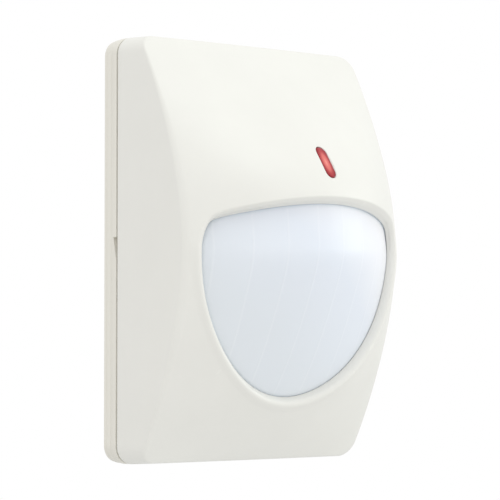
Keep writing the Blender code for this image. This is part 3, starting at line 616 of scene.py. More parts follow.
def position_share(tree, where, direction, start, end):
    """0 to 1 along a direction in the object's frame, from start to end."""
    along = add_node(tree, "ShaderNodeVectorMath", operation="DOT_PRODUCT")
    tree.links.new(where, along.inputs[0])
    along.inputs[1].default_value = direction
    return spread(tree, along.outputs["Value"], 0.0, 1.0, start, end)


# Painted light on the lens: a shaded colour to its lower left, a lit colour to its upper right.
LENS_PAINTED_LIGHT_COLOURS = [(0.0, (0.755, 0.79, 0.83)), (0.5, (0.77, 0.81, 0.885)), (1.0, (0.94, 0.935, 0.975))]
LENS_CLOUD = (0.74, 0.80, 0.87)
SEAM_COLOUR = (0.97, 0.98, 1.0)
# Painted shade in the crevice between the lens and the rim.
CREVICE_SHADE_COLOUR = (0.66, 0.71, 0.76)
CREVICE_SHADE_REACH = 1.1 * MM
# Painted light in the red guide: a painted glow at its core, darkening to painted shade at its rim.
WINDOW_PAINTED_GLOW = [
    (0.0, (0.84, 0.28, 0.24)),
    (0.4, (0.70, 0.16, 0.14)),
    (0.8, (0.42, 0.045, 0.05)),
    (1.0, (0.30, 0.02, 0.03)),
]
WINDOW_PAINTED_GLOW_X = -0.22 * MM    # the painted glow and highlight lie a little to the left of the slot's axis


def lens_material():
    """Milky polyethylene film with faint upright facet seams; painted light makes it paler towards its upper
    right, where the light falls, and painted shade darkens it round its edges.
    """
    material, tree, shader = new_material("lens_film")
    where = object_coordinate(tree)
    cloud = noise(tree, where, 22 * MM, 3.0, 0.5)
    speck = noise(tree, where, 0.3 * MM, 2.0, 0.5)
    # painted light: lighter towards the upper right, where the light falls
    painted_light_share = position_share(tree, where, (0.62, 0.0, 0.78), -22 * MM, 20 * MM)
    clouded = mix_colour(tree, spread(tree, cloud, 0.0, 0.12), ramp(tree, painted_light_share, LENS_PAINTED_LIGHT_COLOURS), LENS_CLOUD)
    pitch = {"Scale": 1 / (20 * FACET_WIDTH) * 2 * math.pi, "Distortion": 0.0}
    waves = add_node(tree, "ShaderNodeTexWave", pitch, wave_type="BANDS", bands_direction="X")
    tree.links.new(where, waves.inputs["Vector"])
    seam = spread(tree, waves.outputs["Fac"], 0.0, 1.0, 0.985, 1.0)
    seamed = mix_colour(tree, spread(tree, seam, 0.0, 0.1, 0.0, 1.0), clouded, SEAM_COLOUR)
    # painted shade: darker where ambient occlusion finds the rim close by
    occlusion = add_node(tree, "ShaderNodeAmbientOcclusion", {"Distance": CREVICE_SHADE_REACH}, samples=8)
    shade = spread(tree, occlusion.outputs["AO"], 1.0, 0.0, 0.35, 0.95)
    edge_shaded = mix_colour(tree, shade, seamed, CREVICE_SHADE_COLOUR)
    tree.links.new(edge_shaded, shader.inputs["Base Color"])
    set_inputs(shader, {
        "Subsurface Weight": 0.25,
        "Subsurface Radius": (1.0, 1.0, 1.0),
        "Subsurface Scale": 1.2 * MM,
    })
    tree.links.new(spread(tree, cloud, 0.30, 0.38), shader.inputs["Roughness"])
    bump(tree, shader, [(cloud, 0.04, 0.3 * MM), (speck, 0.15, 0.01 * MM), (seam, 0.3, 0.05 * MM)])
    return material


def window_material():
    """Red light guide with painted light: a painted glow and highlight along its axis, and painted shade
    where its side meets the slot.
    """
    material, tree, shader = new_material("indicator_red")
    where = object_coordinate(tree)
    centre = add_node(tree, "ShaderNodeVectorMath", operation="SUBTRACT")
    tree.links.new(where, centre.inputs[0])
    centre.inputs[1].default_value = (WINDOW_PAINTED_GLOW_X, 0, WINDOW_HEIGHT)
    squeeze = add_node(tree, "ShaderNodeVectorMath", operation="MULTIPLY")
    tree.links.new(centre.outputs["Vector"], squeeze.inputs[0])
    across = 2 / (WINDOW_WIDTH + SEEN_GROWTH)
    along = 2 / (WINDOW_LENGTH + SEEN_GROWTH)
    squeeze.inputs[1].default_value = (across, 0, along)
    radius = add_node(tree, "ShaderNodeVectorMath", operation="LENGTH")
    tree.links.new(squeeze.outputs["Vector"], radius.inputs[0])
    # painted glow in the middle, painted shade towards the slot
    painted_glow = ramp(tree, radius.outputs["Value"], WINDOW_PAINTED_GLOW, "EASE")
    cloud = noise(tree, where, 1.2 * MM, 3.0, 0.5)
    tree.links.new(painted_glow, shader.inputs["Base Color"])
    tree.links.new(spread(tree, cloud, 0.12, 0.2), shader.inputs["Roughness"])
    shader.inputs["Specular IOR Level"].default_value = 0.3
    bump(tree, shader, [(cloud, 0.1, 0.05 * MM)])
    return material


LOOKS["lens_film"] = lens_material()
LOOKS["indicator_red"] = window_material()


def floor_material():
    material, tree, shader = new_material("studio_floor")
    where = object_coordinate(tree)
    cloud = noise(tree, where, 300 * MM, 3.0, 0.5)
    tree.links.new(ramp(tree, cloud, [(0.3, 0.72), (0.7, 0.75)]), shader.inputs["Base Color"])
    shader.inputs["Roughness"].default_value = 0.7
    return material


# ---------------------------------------------------------------- pieces

def piece(obj, body, slot, *nodes):
    """Gives obj its material, lets it ride on body, and has it stand for the CAD nodes."""
    obj.data.materials.clear()
    obj.data.materials.append(LOOKS[slot])
    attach(obj, body)
    if nodes:
        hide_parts(*nodes)


def rim_profile():
    """The opening's rim from the inside out: (growth of the opening, loss of depth, share of the bead)."""
    lip = FRONT_WALL - RIM_LAND
    cut_back = RIM_ROUNDING / math.hypot(RIM_BEVEL, lip)
    end = RIM_BEVEL + RIM_ROUNDING / 2
    profile = [(0, FRONT_WALL, 0), (0, lip, 0), (0.04 * MM, lip - 0.1 * MM, 0)]
    profile += [(RIM_BEVEL * share, lip * (1 - share), 0) for share in (0.2, 0.4)]
    rounding = bend((RIM_BEVEL * (1 - cut_back), lip * cut_back), (RIM_BEVEL, 0), (end, 0), RIM_STEPS)
    profile += [(grow, loss, k / RIM_STEPS) for k, (grow, loss) in enumerate(rounding)]
    profile += [(end + BEAD_WIDTH * share, 0, bead) for share, bead in BEAD_PROFILE]
    return profile


def rim_ring(grow, loss, bead):
    brow = BROW_BEVEL * min(grow / RIM_BEVEL, 1.0)
    ring = []
    for p, (_, out) in zip(opening_ring(grow, brow), OPENING_FRAMES):
        rise = BEAD_RISE * bead * max(0.0, 1 - BEAD_FADE * max(0.0, out.y))
        ring.append(point(p.x, p.y, front_depth(p.x, p.y) - loss + rise))
    return ring


def crease_ring(foot, radii, angle, wall=0.0):
    """A ring on the rounding from the side (angle 0) to the front (a right angle), wall below the skin."""
    ring = []
    for p, (_, out), radius in zip(foot, BODY_FRAMES, radii):
        q = p - out * radius * (1 - math.cos(angle))
        loss = wall + radius * (1 - math.sin(angle))
        ring.append(point(q.x, q.y, front_depth(q.x, q.y) - loss))
    return ring


def window_ring(grow):
    """Points (x, z) round the indicator's slot, made wider and longer by grow."""
    return moved(stadium(WINDOW_WIDTH + grow, WINDOW_LENGTH + grow, 16), 0, WINDOW_HEIGHT)


def make_cover():
    """The front moulding: one closed shell from the opening's rim over the crease and back inside."""
    profile = rim_profile()
    rings = [rim_ring(*row) for row in profile]
    start = opening_ring(profile[-1][0], BROW_BEVEL)
    foot = body_ring(SIDE_DRAFT)
    radii = [crease_radius(p.y) for p in foot]
    edge = [p - out * radius for p, (_, out), radius in zip(foot, BODY_FRAMES, radii)]
    rings += [on_skin(between(start, edge, k / FRONT_STEPS), 0) for k in range(1, FRONT_STEPS)]
    for k in range(CREASE_STEPS + 1):
        rings.append(crease_ring(foot, radii, math.radians(90 - 90 * k / CREASE_STEPS)))
    side_top = rings[-1]
    rear_edge = at_depth(body_ring(0), COVER_REAR + REAR_ROUNDING)
    rings += [between(side_top, rear_edge, k / SIDE_STEPS) for k in range(1, SIDE_STEPS)]
    for inset, rise in bend((0, REAR_ROUNDING), (0, 0), (REAR_ROUNDING, 0), 4):
        rings.append(at_depth(body_ring(inset), COVER_REAR + rise))
    rings.append(at_depth(body_ring(SIDE_WALL - REAR_CHAMFER), COVER_REAR))
    rings.append(at_depth(body_ring(SIDE_WALL), COVER_REAR + REAR_CHAMFER))
    inner_foot = body_ring(SIDE_WALL + SIDE_DRAFT)
    inner_radii = [INNER_CREASE_RADIUS] * len(inner_foot)
    for k in range(INNER_CREASE_STEPS + 1):
        angle = math.radians(90 * k / INNER_CREASE_STEPS)
        rings.append(crease_ring(inner_foot, inner_radii, angle, FRONT_WALL))
    inner_edge = body_ring(SIDE_WALL + SIDE_DRAFT + INNER_CREASE_RADIUS)
    for k in range(1, INNER_STEPS):
        rings.append(on_skin(between(inner_edge, opening_ring(), k / INNER_STEPS), FRONT_WALL))
    cover = new_object("cover_shell", loft(rings, closed=True))

    plunger = Box("tamper_plunger")
    outline = moved(stadium(POST_WIDTH, POST_LENGTH), *plunger.place)
    post = loft([at_depth(outline, plunger.far + FIT_GAP), on_skin(outline, FRONT_WALL / 2)])
    carve(cover, [new_object("post", post)], "UNION")
    slot = loft([on_skin(window_ring(2 * FIT_GAP + grow), loss) for grow, loss in SLOT_PROFILE])
    carve(cover, [new_object("slot", slot)])
    piece(cover, "cover", "case_plastic", "front_cover")


def lens_sink(p):
    """How much deeper the dome lies here: most at the upper corners."""
    up = min(max((p.y - OPENING_WIDEST) / OPENING_TOP, 0.0), 1.0)
    across = min(abs(p.x) / OPENING_HALF_WIDTH, 1.0)
    return LENS_SINK * up ** LENS_SINK_POWER * (LENS_SINK_MIDDLE + (1 - LENS_SINK_MIDDLE) * across)


def lens_ring(fraction, loss, grow=None, sink=0.0):
    """A ring of the lens, shrunk towards the middle of the opening; the dome's rings also sink."""
    ring = []
    for here, out in OPENING_FRAMES:
        gap = LENS_EDGE_GAP + LENS_SIDE_GAP * abs(out.x)
        p = here + out * (-gap if grow is None else grow)
        q = Vector((p.x * fraction, OPENING_WIDEST + (p.y - OPENING_WIDEST) * fraction))
        ring.append(point(q.x, q.y, front_depth(q.x, q.y) - loss - sink * lens_sink(q)))
    return ring


def make_lens():
    """Dome that stands into the opening, with a flange behind the cover's front wall."""
    back = LENS_SEAT + LENS_WALL
    rings = [lens_ring(k / LENS_STEPS, back) for k in range(2, LENS_STEPS + 1, 2)]
    rings += [lens_ring(1, back, LENS_FLANGE), lens_ring(1, LENS_SEAT, LENS_FLANGE), lens_ring(1, LENS_SEAT)]
    rings += [lens_ring(1 - shrink, LENS_LOSS + drop, sink=1.0) for shrink, drop in LENS_EDGE]
    rings += [lens_ring(k / LENS_STEPS, LENS_LOSS, sink=1.0) for k in range(LENS_STEPS - 1, 0, -1)]
    piece(new_object("lens_dome", loft(rings)), "cover", "lens_film", "fresnel_lens")


def make_light_guide():
    """The red guide: a rod from the lamp to the slot, with a collar behind the cover's front wall."""
    rod = window_ring(SEEN_GROWTH)
    collar = window_ring(2 * WINDOW_FLANGE)
    seat = FRONT_WALL + FIT_GAP
    rings = [
        at_depth(rod, GUIDE.near),
        on_skin(rod, seat + WINDOW_FLANGE),
        on_skin(collar, seat + WINDOW_FLANGE),
        on_skin(collar, seat),
        on_skin(rod, seat),
    ]
    profile = bend((0, GUIDE_END_DROP), (0, 0), (GUIDE_END_INSETS[0], 0), 6)
    profile += [(inset, 0) for inset in GUIDE_END_INSETS[1:]]
    rings += [on_skin(window_ring(SEEN_GROWTH - 2 * inset), SEEN_LOSS + drop) for inset, drop in profile]
    piece(new_object("indicator_window", loft(rings)), "cover", "indicator_red", "led_light_guide")


def make_notch(side):
    """Wedge for a screwdriver in the base's rim, deepest at its upper end."""
    low = NOTCH_HEIGHT - NOTCH_HALF_LENGTH
    high = NOTCH_HEIGHT + NOTCH_HALF_LENGTH
    profile = [
        (low, NOTCH_FRONT),
        (low, BASE_DEPTH - NOTCH_SHALLOW),
        (high, BASE_DEPTH - NOTCH_DEPTH),
        (high, NOTCH_FRONT),
    ]
    ends = (side * (HALF_WIDTH - NOTCH_REACH), side * (HALF_WIDTH + OVERCUT))
    return new_object("notch", loft([[point(x, z, depth) for z, depth in profile] for x in ends]))


def base_profile():
    """The base's section from its rear edge round to its floor: (inset, depth)."""
    edge = 2 * BACK_STEP
    profile = bend((edge + BACK_ROUND, 0), (edge, 0), (edge, BACK_ROUND), 4)
    for depth, outer in zip(STEP_DEPTHS, (BACK_STEP, 0)):
        inner = outer + BACK_STEP
        profile += [
            (inner, depth - STEP_GROOVE),
            (inner + STEP_GROOVE, depth),
            (outer + STEP_GROOVE / 3, depth + STEP_GROOVE),
            (outer, depth + 2 * STEP_GROOVE),
        ]
    profile += bend((0, SHELF_DEPTH - SHELF_ROUNDING), (0, SHELF_DEPTH), (SHELF_ROUNDING, SHELF_DEPTH), 4)
    profile += [(TONGUE_INSET - SHELF_FILLET, SHELF_DEPTH), (TONGUE_INSET, SHELF_DEPTH + SHELF_FILLET)]
    inset, depth, soft = TONGUE_INSET, TONGUE_DEPTH, TONGUE_ROUNDING
    profile += bend((inset, depth - soft), (inset, depth), (inset + soft, depth), 3)
    profile.append((TRAY_INSET, TONGUE_DEPTH))
    inset, depth, soft = TRAY_INSET, BACK_WALL, TRAY_FILLET
    profile += bend((inset, depth + soft), (inset, depth), (inset + soft, depth), 3)
    return profile


def board_supports():
    """The rails and side guides that the board lies on, and the boss for its screw."""
    root = BACK_WALL / 2
    seat = BOARD.near - FIT_GAP
    length = BOARD.size.z - RAIL_SHORTENING
    found = []
    for side in (-1, 1):
        rail_x = side * (BOARD.size.x / 2 - RAIL_INSET)
        guide_x = side * (BOARD.size.x / 2 + FIT_GAP + SIDE_GUIDE_WALL / 2)
        rail = rounded_box(RAIL_WIDTH, length, rail_x, BOARD.centre.z)
        guide = rounded_box(SIDE_GUIDE_WALL, length, guide_x, BOARD.centre.z, 0.4 * MM)
        found += [prism(rail, root, seat), prism(guide, root, BOARD.far + SIDE_GUIDE_RISE)]
    found.append(prism(circle(BOSS_DIAMETER, 0, SCREW_HEIGHT), root, seat))
    return found


def base_cutters():
    """Tools for the base's holes and notches, and for the shallow marks on its rear face."""
    through = 3 * BACK_WALL
    screw_hole = circle(BOSS_HOLE_DIAMETER, 0, SCREW_HEIGHT, 32)
    found = [prism(screw_hole, BACK_WALL, 2 * (BOARD.near - FIT_GAP))]
    for side in (-1, 1):
        found.append(make_notch(side))
        for end in (-1, 1):
            x = side * (HALF_WIDTH - WALL_HOLE_INSET)
            z = end * (HALF_HEIGHT - WALL_HOLE_MARGIN)
            mark = circle(MARK_DIAMETER, x, z - end * MARK_DISTANCE, 32)
            found.append(prism(circle(WALL_HOLE_DIAMETER, x, z), -OVERCUT, through))
            found.append(prism(circle(WALL_SINKING_DIAMETER, x, z), -OVERCUT, WALL_SINKING_DEPTH))
            found.append(prism(mark, -OVERCUT, MARK_SINK))
    found.append(prism(circle(CABLE_HOLE_DIAMETER, 0, GROMMET_HEIGHT), -OVERCUT, through))
    panel = rounded_box(PANEL_WIDTH, PANEL_LENGTH, 0, PANEL_HEIGHT, PANEL_CORNER, 10)
    found.append(prism(panel, -OVERCUT, PANEL_SINK))
    return found


def make_base():
    """The rear moulding: a tray with a stepped rim and a tongue that stands inside the cover."""
    rings = [at_depth(body_ring(inset), depth) for inset, depth in base_profile()]
    base = new_object("rear_moulding", loft(rings))
    carve(base, board_supports(), "UNION")
    carve(base, base_cutters())
    piece(base, "base", "base_plastic", "rear_base")


# ---------------------------------------------------------------- pieces inside

LEAST_CORNER = 0.06 * MM

SCREW_SHAFT = 2.4 * MM
SCREW_HEAD = 5.4 * MM
SCREW_HEAD_WALL = 1.8 * MM
SCREW_SLOT = 0.7 * MM
SCREW_TIP = 0.5 * MM
HEAD_CHAMFER = 0.15 * MM
HEAD_FLAT = 0.62    # the flat on a screw's head, and its cross, as a share of the head

BOARD_EDGE = 0.12 * MM
BOARD_CORNER = 0.8 * MM
BOARD_TRAVEL = 3.0 * MM
SLOT_END_GAP = 0.9 * MM
PLATING_GAP = 0.1 * MM    # the plated ring's hole is this much larger than the slot
PLATING_WIDTH = 1.7 * MM
PLATING_LENGTH = 0.7 * MM
PLATING_WALL = 0.04 * MM

LEG_PITCH = 1.27 * MM
LEG_WIDTH = 0.42 * MM
# (distance out from the package, rise off its rear), in millimetres
LEG_PROFILE = (
    (1.1, 0), (0.5, 0), (0.3, 0.66), (-0.1, 0.66),
    (-0.1, 0.84), (0.42, 0.84), (0.62, 0.18), (1.1, 0.18),
)
DIMPLE_DIAMETER = 0.8 * MM
DIMPLE_INSET = 0.9 * MM
DIMPLE_SINK = 0.1 * MM

CAPACITOR_FOOT = 0.2 * MM
CRIMP = ((1.15 * MM, 0), (1.45 * MM, 0.25 * MM), (1.75 * MM, 0.25 * MM), (2.05 * MM, 0))    # (height, sink)
SLEEVE_ROUNDING = 0.45 * MM
SLEEVE_LIP = ((0.8 * MM, 0), (0.85 * MM, 0.12 * MM))    # (inset, sink)
CAPACITOR_END = ((0.9 * MM, 0.11 * MM), (0.95 * MM, 0.03 * MM))    # (inset, sink)
SCORE_WIDTH = 0.16 * MM
SCORE_SINK = 0.07 * MM
SCORE_LENGTH = 1.5    # times the capacitor's radius

TERMINALS = 6
TERMINAL_PITCH = 5.0 * MM
# Millimetres from the centre of the part that each solder joint belongs to.
SOLDER_PLACES = {
    "terminal_block": [(TERMINAL_PITCH / MM * (k - 2.5), -1.0) for k in range(TERMINALS)],
    "alarm_relay": [(-3.0, 6.0), (-3.0, -6.0), (0, 6.0), (0, -6.0)],
    "supply_capacitor": [(-1.2, 0), (1.2, 0)],
    "filter_capacitor": [(-1.0, 0), (1.0, 0)],
    "timing_capacitor": [(-1.0, 0), (1.0, 0)],
    "indicator_led": [(-1.27, 0), (1.27, 0)],
    "pyro_sensor_can": [(0, 2.54), (-2.54, 0), (0, -2.54)],
    "clock_resonator": [(-2.4, 0), (2.4, 0)],
    "sensitivity_trimmer_body": [(0, 2.5), (2.5, -2.5)],
    "option_switch_body": [((k - 1) * 2.54, side * 2.6) for k in range(3) for side in (-1, 1)],
    "tamper_switch_body": [(2.2, 2.2), (2.2, -2.2)],
}
# (diameter, rise), in millimetres
SOLDER_CONE = ((1.9, 0), (1.9, 0.04), (1.3, 0.2), (0.8, 0.7), (0.6, 0.9))


def turned(name, profile, x, z, steps=48, closed=False, sharp=SHARP_ANGLE):
    """A solid of revolution on a line out of the wall; profile is (radius, depth)."""
    rings = [at_depth(circle(2 * radius, x, z, steps), depth) for radius, depth in profile]
    return new_object(name, loft(rings, closed), sharp)


def block(name, node, radius=0.5 * MM, rounding=0.25 * MM, foot=0.0):
    """A moulded block that fills its CAD node's box; foot insets its rear edge."""
    box = Box(node)
    profile = [(foot, box.near)]
    if foot:
        profile.append((0, box.near + 2 * foot))
    profile += bend((0, box.far - rounding), (0, box.far), (rounding, box.far), 4)
    rings = []
    for inset, depth in profile:
        corner = max(radius - inset, LEAST_CORNER)
        outline = rounded_box(box.size.x - 2 * inset, box.size.z - 2 * inset, *box.place, corner)
        rings.append(at_depth(outline, depth))
    return new_object(name, loft(rings))


def extrude_across(bm, profile, low, high):
    """Adds a closed bar along X; profile is (z, depth)."""
    rows = [[bm.verts.new(point(x, z, depth)) for z, depth in profile] for x in (low, high)]
    join_rows(bm, *rows)
    for row in rows:
        bm.faces.new(row)


def make_chip(name, node, legs):
    """A flat resin package: drafted sides, a dimple at its first leg, and bent legs above and below."""
    box = Box(node)
    chip = block(name + "_body", node, radius=0.2 * MM, rounding=0.12 * MM, foot=0.1 * MM)
    dimple = circle(DIMPLE_DIAMETER, box.low.x + DIMPLE_INSET, box.high.z - DIMPLE_INSET, 20)
    carve(chip, [prism(dimple, box.far - DIMPLE_SINK, box.far + OVERCUT)])
    piece(chip, "board", "black_resin", node)
    bm = bmesh.new()
    for side in (1, -1):
        profile = []
        for out, rise in LEG_PROFILE:
            profile.append((box.centre.z + side * (box.size.z / 2 + out * MM), box.near + rise * MM))
        for k in range(legs):
            x = box.centre.x + (k - (legs - 1) / 2) * LEG_PITCH
            extrude_across(bm, profile, x - LEG_WIDTH / 2, x + LEG_WIDTH / 2)
    piece(new_object(name + "_legs", bm), "board", "plated_steel")


def make_capacitor(node):
    """A sleeved can: crimped near its foot, the sleeve turned over its top, and a scored end."""
    box = Box(node)
    near, far = box.near, box.far
    radius = box.size.x / 2
    profile = [(radius - CAPACITOR_FOOT, near), (radius, near + CAPACITOR_FOOT)]
    profile += [(radius - sink, near + height) for height, sink in CRIMP]
    profile += bend((radius, far - SLEEVE_ROUNDING), (radius, far), (radius - SLEEVE_ROUNDING, far), 5)
    profile += [(radius - inset, far - sink) for inset, sink in SLEEVE_LIP]
    piece(turned(node + "_sleeve", profile, *box.place), "board", "capacitor_sleeve", node)
    end = turned(node + "_end", [(radius - inset, far - sink) for inset, sink in CAPACITOR_END], *box.place)
    long = SCORE_LENGTH * radius
    bars = []
    for size_x, size_z in ((long, SCORE_WIDTH), (SCORE_WIDTH, long)):
        bar = rounded_box(size_x, size_z, *box.place, SCORE_SINK, 2)
        bars.append(prism(bar, far - SCORE_SINK, far + OVERCUT))
    piece(carve(end, bars), "board", "plated_steel")


def make_screw(node, head, head_wall, shaft=None, cross=False):
    """A slotted or crossed screw head, domed, with its shaft if it has one. It turns as a body of its own."""
    box = Box(node)
    far = box.far
    near = far - head_wall
    half = 0.5 * head_wall
    radius = head / 2
    profile = [(radius - HEAD_CHAMFER, near), (radius, near + HEAD_CHAMFER)]
    profile += bend((radius, far - half), (radius, far), (HEAD_FLAT * radius, far), 5)
    if shaft:
        tip = [(0.3 * shaft, box.near), (shaft / 2, box.near + SCREW_TIP), (shaft / 2, near - 0.01 * MM)]
        profile = tip + profile
    screw = turned(node + "_turned", profile, *box.place)
    slots = [(2 * head, SCREW_SLOT)]
    if cross:
        slots = [(HEAD_FLAT * head, SCREW_SLOT), (SCREW_SLOT, HEAD_FLAT * head)]
    tools = []
    for size_x, size_z in slots:
        tools.append(prism(rounded_box(size_x, size_z, *box.place, 0.05 * MM, 1), far - half, far + OVERCUT))
    piece(carve(screw, tools), node, "plated_steel", node)


def make_board():
    """The board with its slot, the plated ring round the slot, and solder on its back."""
    near, far = BOARD.near, BOARD.far
    profile = bend((BOARD_EDGE, near), (0, near), (0, near + BOARD_EDGE), 2)
    profile += bend((0, far - BOARD_EDGE), (0, far), (BOARD_EDGE, far), 2)
    rings = []
    for inset, depth in profile:
        size_x = BOARD.size.x - 2 * inset
        size_z = BOARD.size.z - 2 * inset
        rings.append(at_depth(rounded_box(size_x, size_z, *BOARD.place, BOARD_CORNER - inset), depth))
    board = new_object("board_sheet", loft(rings))
    width = SCREW_SHAFT + 2 * FIT_GAP
    length = SCREW_SHAFT + 2 * (BOARD_TRAVEL + SLOT_END_GAP)
    slot = moved(stadium(width, length, 16), 0, SCREW_HEIGHT)
    carve(board, [prism(slot, near - OVERCUT, far + OVERCUT)])
    piece(board, "board", "board_laminate", "circuit_board")
    inner = moved(stadium(width + PLATING_GAP, length + PLATING_GAP, 16), 0, SCREW_HEIGHT)
    outer = moved(stadium(width + PLATING_WIDTH, length + PLATING_LENGTH, 16), 0, SCREW_HEIGHT)
    top = far + PLATING_WALL
    rings = [at_depth(inner, far), at_depth(outer, far), at_depth(outer, top), at_depth(inner, top)]
    piece(new_object("slot_plating", loft(rings, closed=True)), "board", "plated_steel")
    make_solder(near)


def make_solder(rear):
    """Solder cones on the board's back, one for each leg that goes through it."""
    bm = bmesh.new()
    for node, offsets in SOLDER_PLACES.items():
        centre = Box(node).centre
        for x, z in offsets:
            rings = []
            for diameter, rise in SOLDER_CONE:
                ring = circle(diameter * MM, centre.x + x * MM, centre.z + z * MM, 16)
                rings.append(at_depth(ring, rear - rise * MM))
            rows = make_rows(bm, rings)
            bm.faces.new(rows[0])
            bm.faces.new(rows[-1])
    piece(new_object("solder_joints", bm), "board", "plated_steel")


CAN_FLANGE = 0.5 * MM    # how far the can's flange stands out from its wall
CAN_ROUNDING = 0.6 * MM
FILTER_GAP = 0.3 * MM
SHROUD_FUNNEL = ((0.9 * MM, -0.1 * MM), (1.05 * MM, 0.1 * MM))    # (growth of the bore, depth past the front)
SHROUD_FUNNEL_START = 1.6 * MM
NICK_WIDTH = 0.9 * MM
NICK_HEIGHT = 1.4 * MM
NICK_START = 2.0 * MM


def make_sensor():
    """The sensor: spacer, can with its filter, and the white shroud round them."""
    spacer = Box("sensor_spacer")
    radius = spacer.size.x / 2
    profile = [(radius - 0.2 * MM, spacer.near), (radius, spacer.near + 0.2 * MM), (radius, spacer.far)]
    piece(turned("spacer_disc", profile, 0, spacer.centre.z), "board", "black_resin", "sensor_spacer")

    box = Box("pyro_sensor_can")
    near, far = box.near, box.far
    flange = box.size.x / 2
    wall = flange - CAN_FLANGE
    profile = [
        (flange - 0.1 * MM, near),
        (flange, near + 0.1 * MM),
        (flange, near + 0.45 * MM),
        (flange - 0.12 * MM, near + 0.58 * MM),
        (wall + 0.15 * MM, near + 0.6 * MM),
        (wall, near + 0.8 * MM),
    ]
    profile += bend((wall, far - CAN_ROUNDING), (wall, far), (wall - CAN_ROUNDING, far), 6)
    can = turned("sensor_can", profile, *box.place, 72)
    glass = Box("pyro_filter_window")
    pocket = rounded_box(glass.size.x + FILTER_GAP, glass.size.z + FILTER_GAP, *box.place, FILTER_GAP)
    carve(can, [prism(pocket, glass.near - 0.12 * MM, far + OVERCUT)])
    piece(can, "board", "plated_steel", "pyro_sensor_can")
    pane = block("sensor_filter", "pyro_filter_window", radius=0.2 * MM, rounding=0.06 * MM)
    piece(pane, "board", "infrared_filter", "pyro_filter_window")

    shroud = block("shroud_ring", "sensor_shroud", radius=1.6 * MM, rounding=0.5 * MM)
    box = Box("sensor_shroud")
    bore = flange + FIT_GAP
    tool = [(bore, box.near - OVERCUT), (bore, box.far - SHROUD_FUNNEL_START)]
    tool += [(bore + growth, box.far + past) for growth, past in SHROUD_FUNNEL]
    carve(shroud, [turned("bore", tool, *box.place, 64)])
    for side in (-1, 1):
        nick_x = box.centre.x + side * box.size.x / 2
        nick = rounded_box(NICK_WIDTH, NICK_HEIGHT, nick_x, box.centre.z, 0.2 * MM, 3)
        carve(shroud, [prism(nick, box.near + NICK_START, box.far + OVERCUT)])
    piece(shroud, "board", "shroud_plastic", "sensor_shroud")


ENTRY_WIDTH = 3.4 * MM    # the hole that a wire goes in by
ENTRY_REACH = 5.0 * MM
ENTRY_FROM = 1.2 * MM
ENTRY_TO = 4.6 * MM
POLE_GROOVE_WIDTH = 0.4 * MM
POLE_GROOVE_SINK = 0.5 * MM
WELL_FUNNEL = 0.3 * MM
CLAMP_INSET = 2.1 * MM
CLAMP_WALL = 0.3 * MM
CLAMP_HALF_WIDTH = 1.5 * MM
CLAMP_FROM = 1.4 * MM
CLAMP_TO = 4.4 * MM


def make_terminals():
    """The terminal block: a shallow groove between poles, screw wells, wire entries and clamp plates."""
    box = Box("terminal_block")
    near, far = box.near, box.far
    body = block("terminal_body", "terminal_block", radius=0.3 * MM, rounding=0.3 * MM)
    tools = []
    clamps = bmesh.new()
    clamp_low = box.low.z + CLAMP_INSET
    clamp_high = clamp_low + CLAMP_WALL
    clamp = [
        (clamp_low, near + CLAMP_FROM),
        (clamp_low, near + CLAMP_TO),
        (clamp_high, near + CLAMP_TO),
        (clamp_high, near + CLAMP_FROM),
    ]
    for k in range(TERMINALS):
        node = f"terminal_screw_{k + 1}"
        screw = Box(node)
        x = screw.centre.x
        bore = screw.size.x / 2 + FIT_GAP
        mouth = bore + WELL_FUNNEL
        well = [(bore, screw.near - FIT_GAP), (bore, far - 0.25 * MM)]
        well += [(mouth, far + 0.05 * MM), (mouth, far + OVERCUT)]
        tools.append(turned("well", well, *screw.place, 40))
        entry = rounded_box(ENTRY_WIDTH, ENTRY_REACH, x, box.low.z, 0.1 * MM, 2)
        tools.append(prism(entry, near + ENTRY_FROM, near + ENTRY_TO))
        if k:
            groove_x = x - TERMINAL_PITCH / 2
            length = box.size.z + 2 * OVERCUT
            groove = rounded_box(POLE_GROOVE_WIDTH, length, groove_x, box.centre.z, 0.1 * MM, 1)
            tools.append(prism(groove, far - POLE_GROOVE_SINK, far + OVERCUT))
        extrude_across(clamps, clamp, x - CLAMP_HALF_WIDTH, x + CLAMP_HALF_WIDTH)
        make_screw(node, screw.size.x, screw.size.y)
    carve(body, tools)
    piece(body, "board", "terminal_plastic", "terminal_block")
    piece(new_object("terminal_clamps", clamps), "board", "plated_steel")


PLUNGER_ROOM = 1.6 * MM    # below the plunger's rear end, for its travel
PLUNGER_ROUNDING = 0.8 * MM
OPTION_WELL_WIDTH = 1.7 * MM
OPTION_WELL_LENGTH = 3.4 * MM
WELL_FLOOR_GAP = 0.2 * MM
ROTOR_ROUNDING = 0.15 * MM
# One side of the rotor's arrow: half-width and height, from the point to the tail.
ARROW = ((0.75 * MM, 0.5 * MM), (0.35 * MM, 0.5 * MM), (0.35 * MM, -1.55 * MM))
ARROW_TIP = (0, 1.55 * MM)
ARROW_SINK = 0.6 * MM


def make_tamper_switch():
    box = Box("tamper_switch_body")
    plunger = Box("tamper_plunger")
    body = block("tamper_body", "tamper_switch_body", radius=0.5 * MM, rounding=0.3 * MM)
    well = circle(plunger.size.x + 2 * FIT_GAP, *box.place)
    carve(body, [prism(well, plunger.near - PLUNGER_ROOM, box.far + OVERCUT)])
    piece(body, "board", "black_resin", "tamper_switch_body")
    radius = plunger.size.x / 2
    tip = plunger.far
    profile = [(radius - 0.1 * MM, plunger.near), (radius, plunger.near + 0.1 * MM)]
    profile += bend((radius, tip - PLUNGER_ROUNDING), (radius, tip), (0.25 * radius, tip), 7)
    piece(turned("plunger_pin", profile, *box.place), "tamper_plunger", "switch_white", "tamper_plunger")


